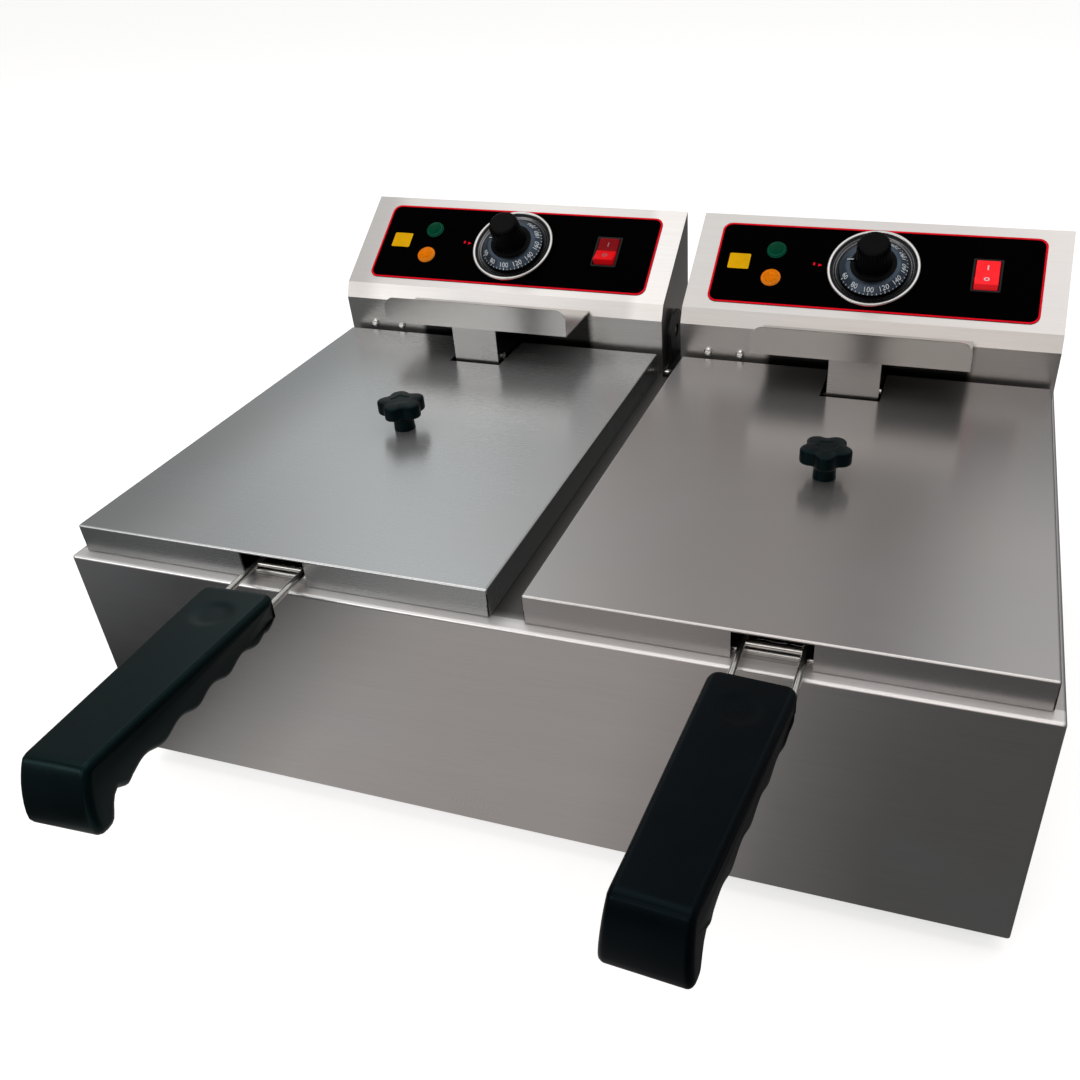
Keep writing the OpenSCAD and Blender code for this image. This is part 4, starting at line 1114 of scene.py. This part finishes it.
# ---------------------------------------------------------------- floor and light
def studio_floor():
    """Plain pale floor. What the steel mirrors of it is dimmer than what the eye sees, as with flags beside a set."""
    m = bpy.data.materials.new("studio_floor")
    m.use_nodes = True
    t = m.node_tree
    t.nodes.clear()
    out = t.nodes.new("ShaderNodeOutputMaterial")
    lp = t.nodes.new("ShaderNodeLightPath")
    seen = t.nodes.new("ShaderNodeBsdfDiffuse")
    seen.inputs["Color"].default_value = (0.86, 0.86, 0.86, 1)
    glow = t.nodes.new("ShaderNodeEmission")
    glow.inputs["Color"].default_value = (1, 1, 1, 1)
    glow.inputs["Strength"].default_value = FLOOR_GLOW
    both = t.nodes.new("ShaderNodeAddShader")
    t.links.new(seen.outputs[0], both.inputs[0])
    t.links.new(glow.outputs[0], both.inputs[1])
    dim = t.nodes.new("ShaderNodeEmission")
    co = t.nodes.new("ShaderNodeTexCoord")
    sep = t.nodes.new("ShaderNodeSeparateXYZ")
    t.links.new(co.outputs["Object"], sep.inputs[0])
    mr = t.nodes.new("ShaderNodeMapRange")
    t.links.new(sep.outputs[0], mr.inputs[0])
    mr.inputs[1].default_value, mr.inputs[2].default_value = -0.8, 0.8
    ramp = t.nodes.new("ShaderNodeValToRGB")
    t.links.new(mr.outputs[0], ramp.inputs[0])
    el = ramp.color_ramp.elements
    for i, (p, c) in enumerate(FLOOR_RAMP):
        x = (p + 0.8) / 1.6
        e = el[i] if i < 2 else el.new(x)
        e.position = x
        e.color = (*c, 1)
    t.links.new(ramp.outputs[0], dim.inputs["Color"])
    mix = t.nodes.new("ShaderNodeMixShader")
    t.links.new(lp.outputs["Is Camera Ray"], mix.inputs[0])
    t.links.new(dim.outputs[0], mix.inputs[1])
    t.links.new(both.outputs[0], mix.inputs[2])
    t.links.new(mix.outputs[0], out.inputs["Surface"])
    return m


FLOOR_GLOW = 0.60
FLOOR_RAMP = [(-0.62, (0.15, 0.155, 0.16)), (-0.46, (0.12, 0.125, 0.13)), (-0.37, (0.02, 0.022, 0.025)), (-0.31, (0.05, 0.05, 0.05)),
              (-0.25, (0.32, 0.315, 0.31)), (-0.18, (0.52, 0.50, 0.49)), (-0.08, (0.49, 0.46, 0.45)), (0.02, (0.47, 0.435, 0.42)),
              (0.08, (0.36, 0.335, 0.325)), (0.14, (0.17, 0.165, 0.16)), (0.20, (0.10, 0.10, 0.10)), (0.34, (0.09, 0.09, 0.09)), (0.6, (0.12, 0.12, 0.12))]
bm = bmesh.new()
bmesh.ops.create_grid(bm, x_segments=8, y_segments=8, size=30.0)
me = bpy.data.meshes.new("floor")
bm.to_mesh(me)
bm.free()
floor = bpy.data.objects.new("floor", me)
me.materials.append(studio_floor())
bpy.context.scene.collection.objects.link(floor)

COOL, WARM, EVEN = (0.97, 1.0, 1.0), (1.03, 0.97, 0.95), (1.0, 0.99, 0.99)
ROOM = [(-180, 0.34, WARM), (-110, 0.30, EVEN), (-60, 0.30, COOL), (-48, 0.32, COOL), (-43, 0.40, COOL), (-39, 0.66, COOL), (-35, 0.82, COOL), (-30, 0.74, COOL),
        (-24, 0.50, EVEN), (-18, 0.32, WARM), (-13, 0.28, WARM), (-7, 0.32, WARM), (-3, 0.13, WARM), (0, 0.20, WARM), (4, 0.56, EVEN),
        (12, 0.60, EVEN), (30, 0.40, EVEN), (70, 0.26, EVEN), (180, 0.34, WARM)]
world = bpy.data.worlds.new("studio")
bpy.context.scene.world = world
world.use_nodes = True
wt = world.node_tree
wt.nodes.clear()
wo = wt.nodes.new("ShaderNodeOutputWorld")
# a soft room: brighter panels round the back, plain elsewhere
room = wt.nodes.new("ShaderNodeBackground")
wc = wt.nodes.new("ShaderNodeTexCoord")
wx = wt.nodes.new("ShaderNodeSeparateXYZ")
wt.links.new(wc.outputs["Generated"], wx.inputs[0])
wa = wt.nodes.new("ShaderNodeMath")
wa.operation = "ARCTAN2"
wt.links.new(wx.outputs[0], wa.inputs[0])
wt.links.new(wx.outputs[1], wa.inputs[1])
wr = wt.nodes.new("ShaderNodeMapRange")
wt.links.new(wa.outputs[0], wr.inputs[0])
wr.inputs[1].default_value, wr.inputs[2].default_value = -math.pi, math.pi
wp = wt.nodes.new("ShaderNodeValToRGB")
wt.links.new(wr.outputs[0], wp.inputs[0])
for i, (deg, v, tint) in enumerate(ROOM):
    x = (deg + 180) / 360
    e = wp.color_ramp.elements[i] if i < 2 else wp.color_ramp.elements.new(x)
    e.position = x
    e.color = (v * tint[0], v * tint[1], v * tint[2], 1)
we = wt.nodes.new("ShaderNodeMapRange")
wt.links.new(wx.outputs[2], we.inputs[0])
we.inputs[1].default_value, we.inputs[2].default_value = 0.25, 0.65
we.inputs[3].default_value, we.inputs[4].default_value = 0.72, 1.3
wt.links.new(wp.outputs[0], room.inputs[0])
wt.links.new(we.outputs[0], room.inputs[1])
eye = wt.nodes.new("ShaderNodeBackground")
eye.inputs[0].default_value = (0.97, 0.97, 0.97, 1)
eye.inputs[1].default_value = 1.0
wl = wt.nodes.new("ShaderNodeLightPath")
wm = wt.nodes.new("ShaderNodeMixShader")
wt.links.new(wl.outputs["Is Camera Ray"], wm.inputs[0])
wt.links.new(room.outputs[0], wm.inputs[1])
wt.links.new(eye.outputs[0], wm.inputs[2])
wt.links.new(wm.outputs[0], wo.inputs[0])


def area(name, at, to, size, radiance, colour=(1, 1, 1)):
    l = bpy.data.lights.new(name, "AREA")
    l.shape = "RECTANGLE"
    l.size, l.size_y = size
    l.energy, l.color = radiance * math.pi * size[0] * size[1], colour
    o = bpy.data.objects.new(name, l)
    o.location = at
    o.rotation_euler = (Vector(to) - Vector(at)).to_track_quat("-Z", "Y").to_euler()
    o.visible_camera = False
    bpy.context.scene.collection.objects.link(o)
    return o


area("overhead", (0.0, 0.1, 2.6), (0.0, 0.1, 0.1), (4.0, 1.8), 0.74, (1.0, 0.965, 0.945))
area("overhead_left", (-0.80, 0.1, 1.9), (-0.80, 0.1, 0.2), (0.26, 1.4), 0.48, (1.0, 0.99, 0.97))
area("overhead_right", (0.42, 0.35, 1.9), (0.42, 0.35, 0.2), (0.22, 0.5), 0.6, (1.0, 0.985, 0.96))
area("front_high", (0.3, -1.7, 2.3), (0, 0, 0.15), (2.6, 0.6), 0.9, (1.0, 0.97, 0.94))
area("front_left", (-2.2, -3.0, 1.75), (0, 0, 0.2), (2.2, 1.3), 1.8, (1.0, 0.99, 0.975))
area("front_right", (0.1, -3.4, 1.95), (0, 0, 0.2), (2.2, 1.2), 1.0, (1.0, 0.93, 0.89))
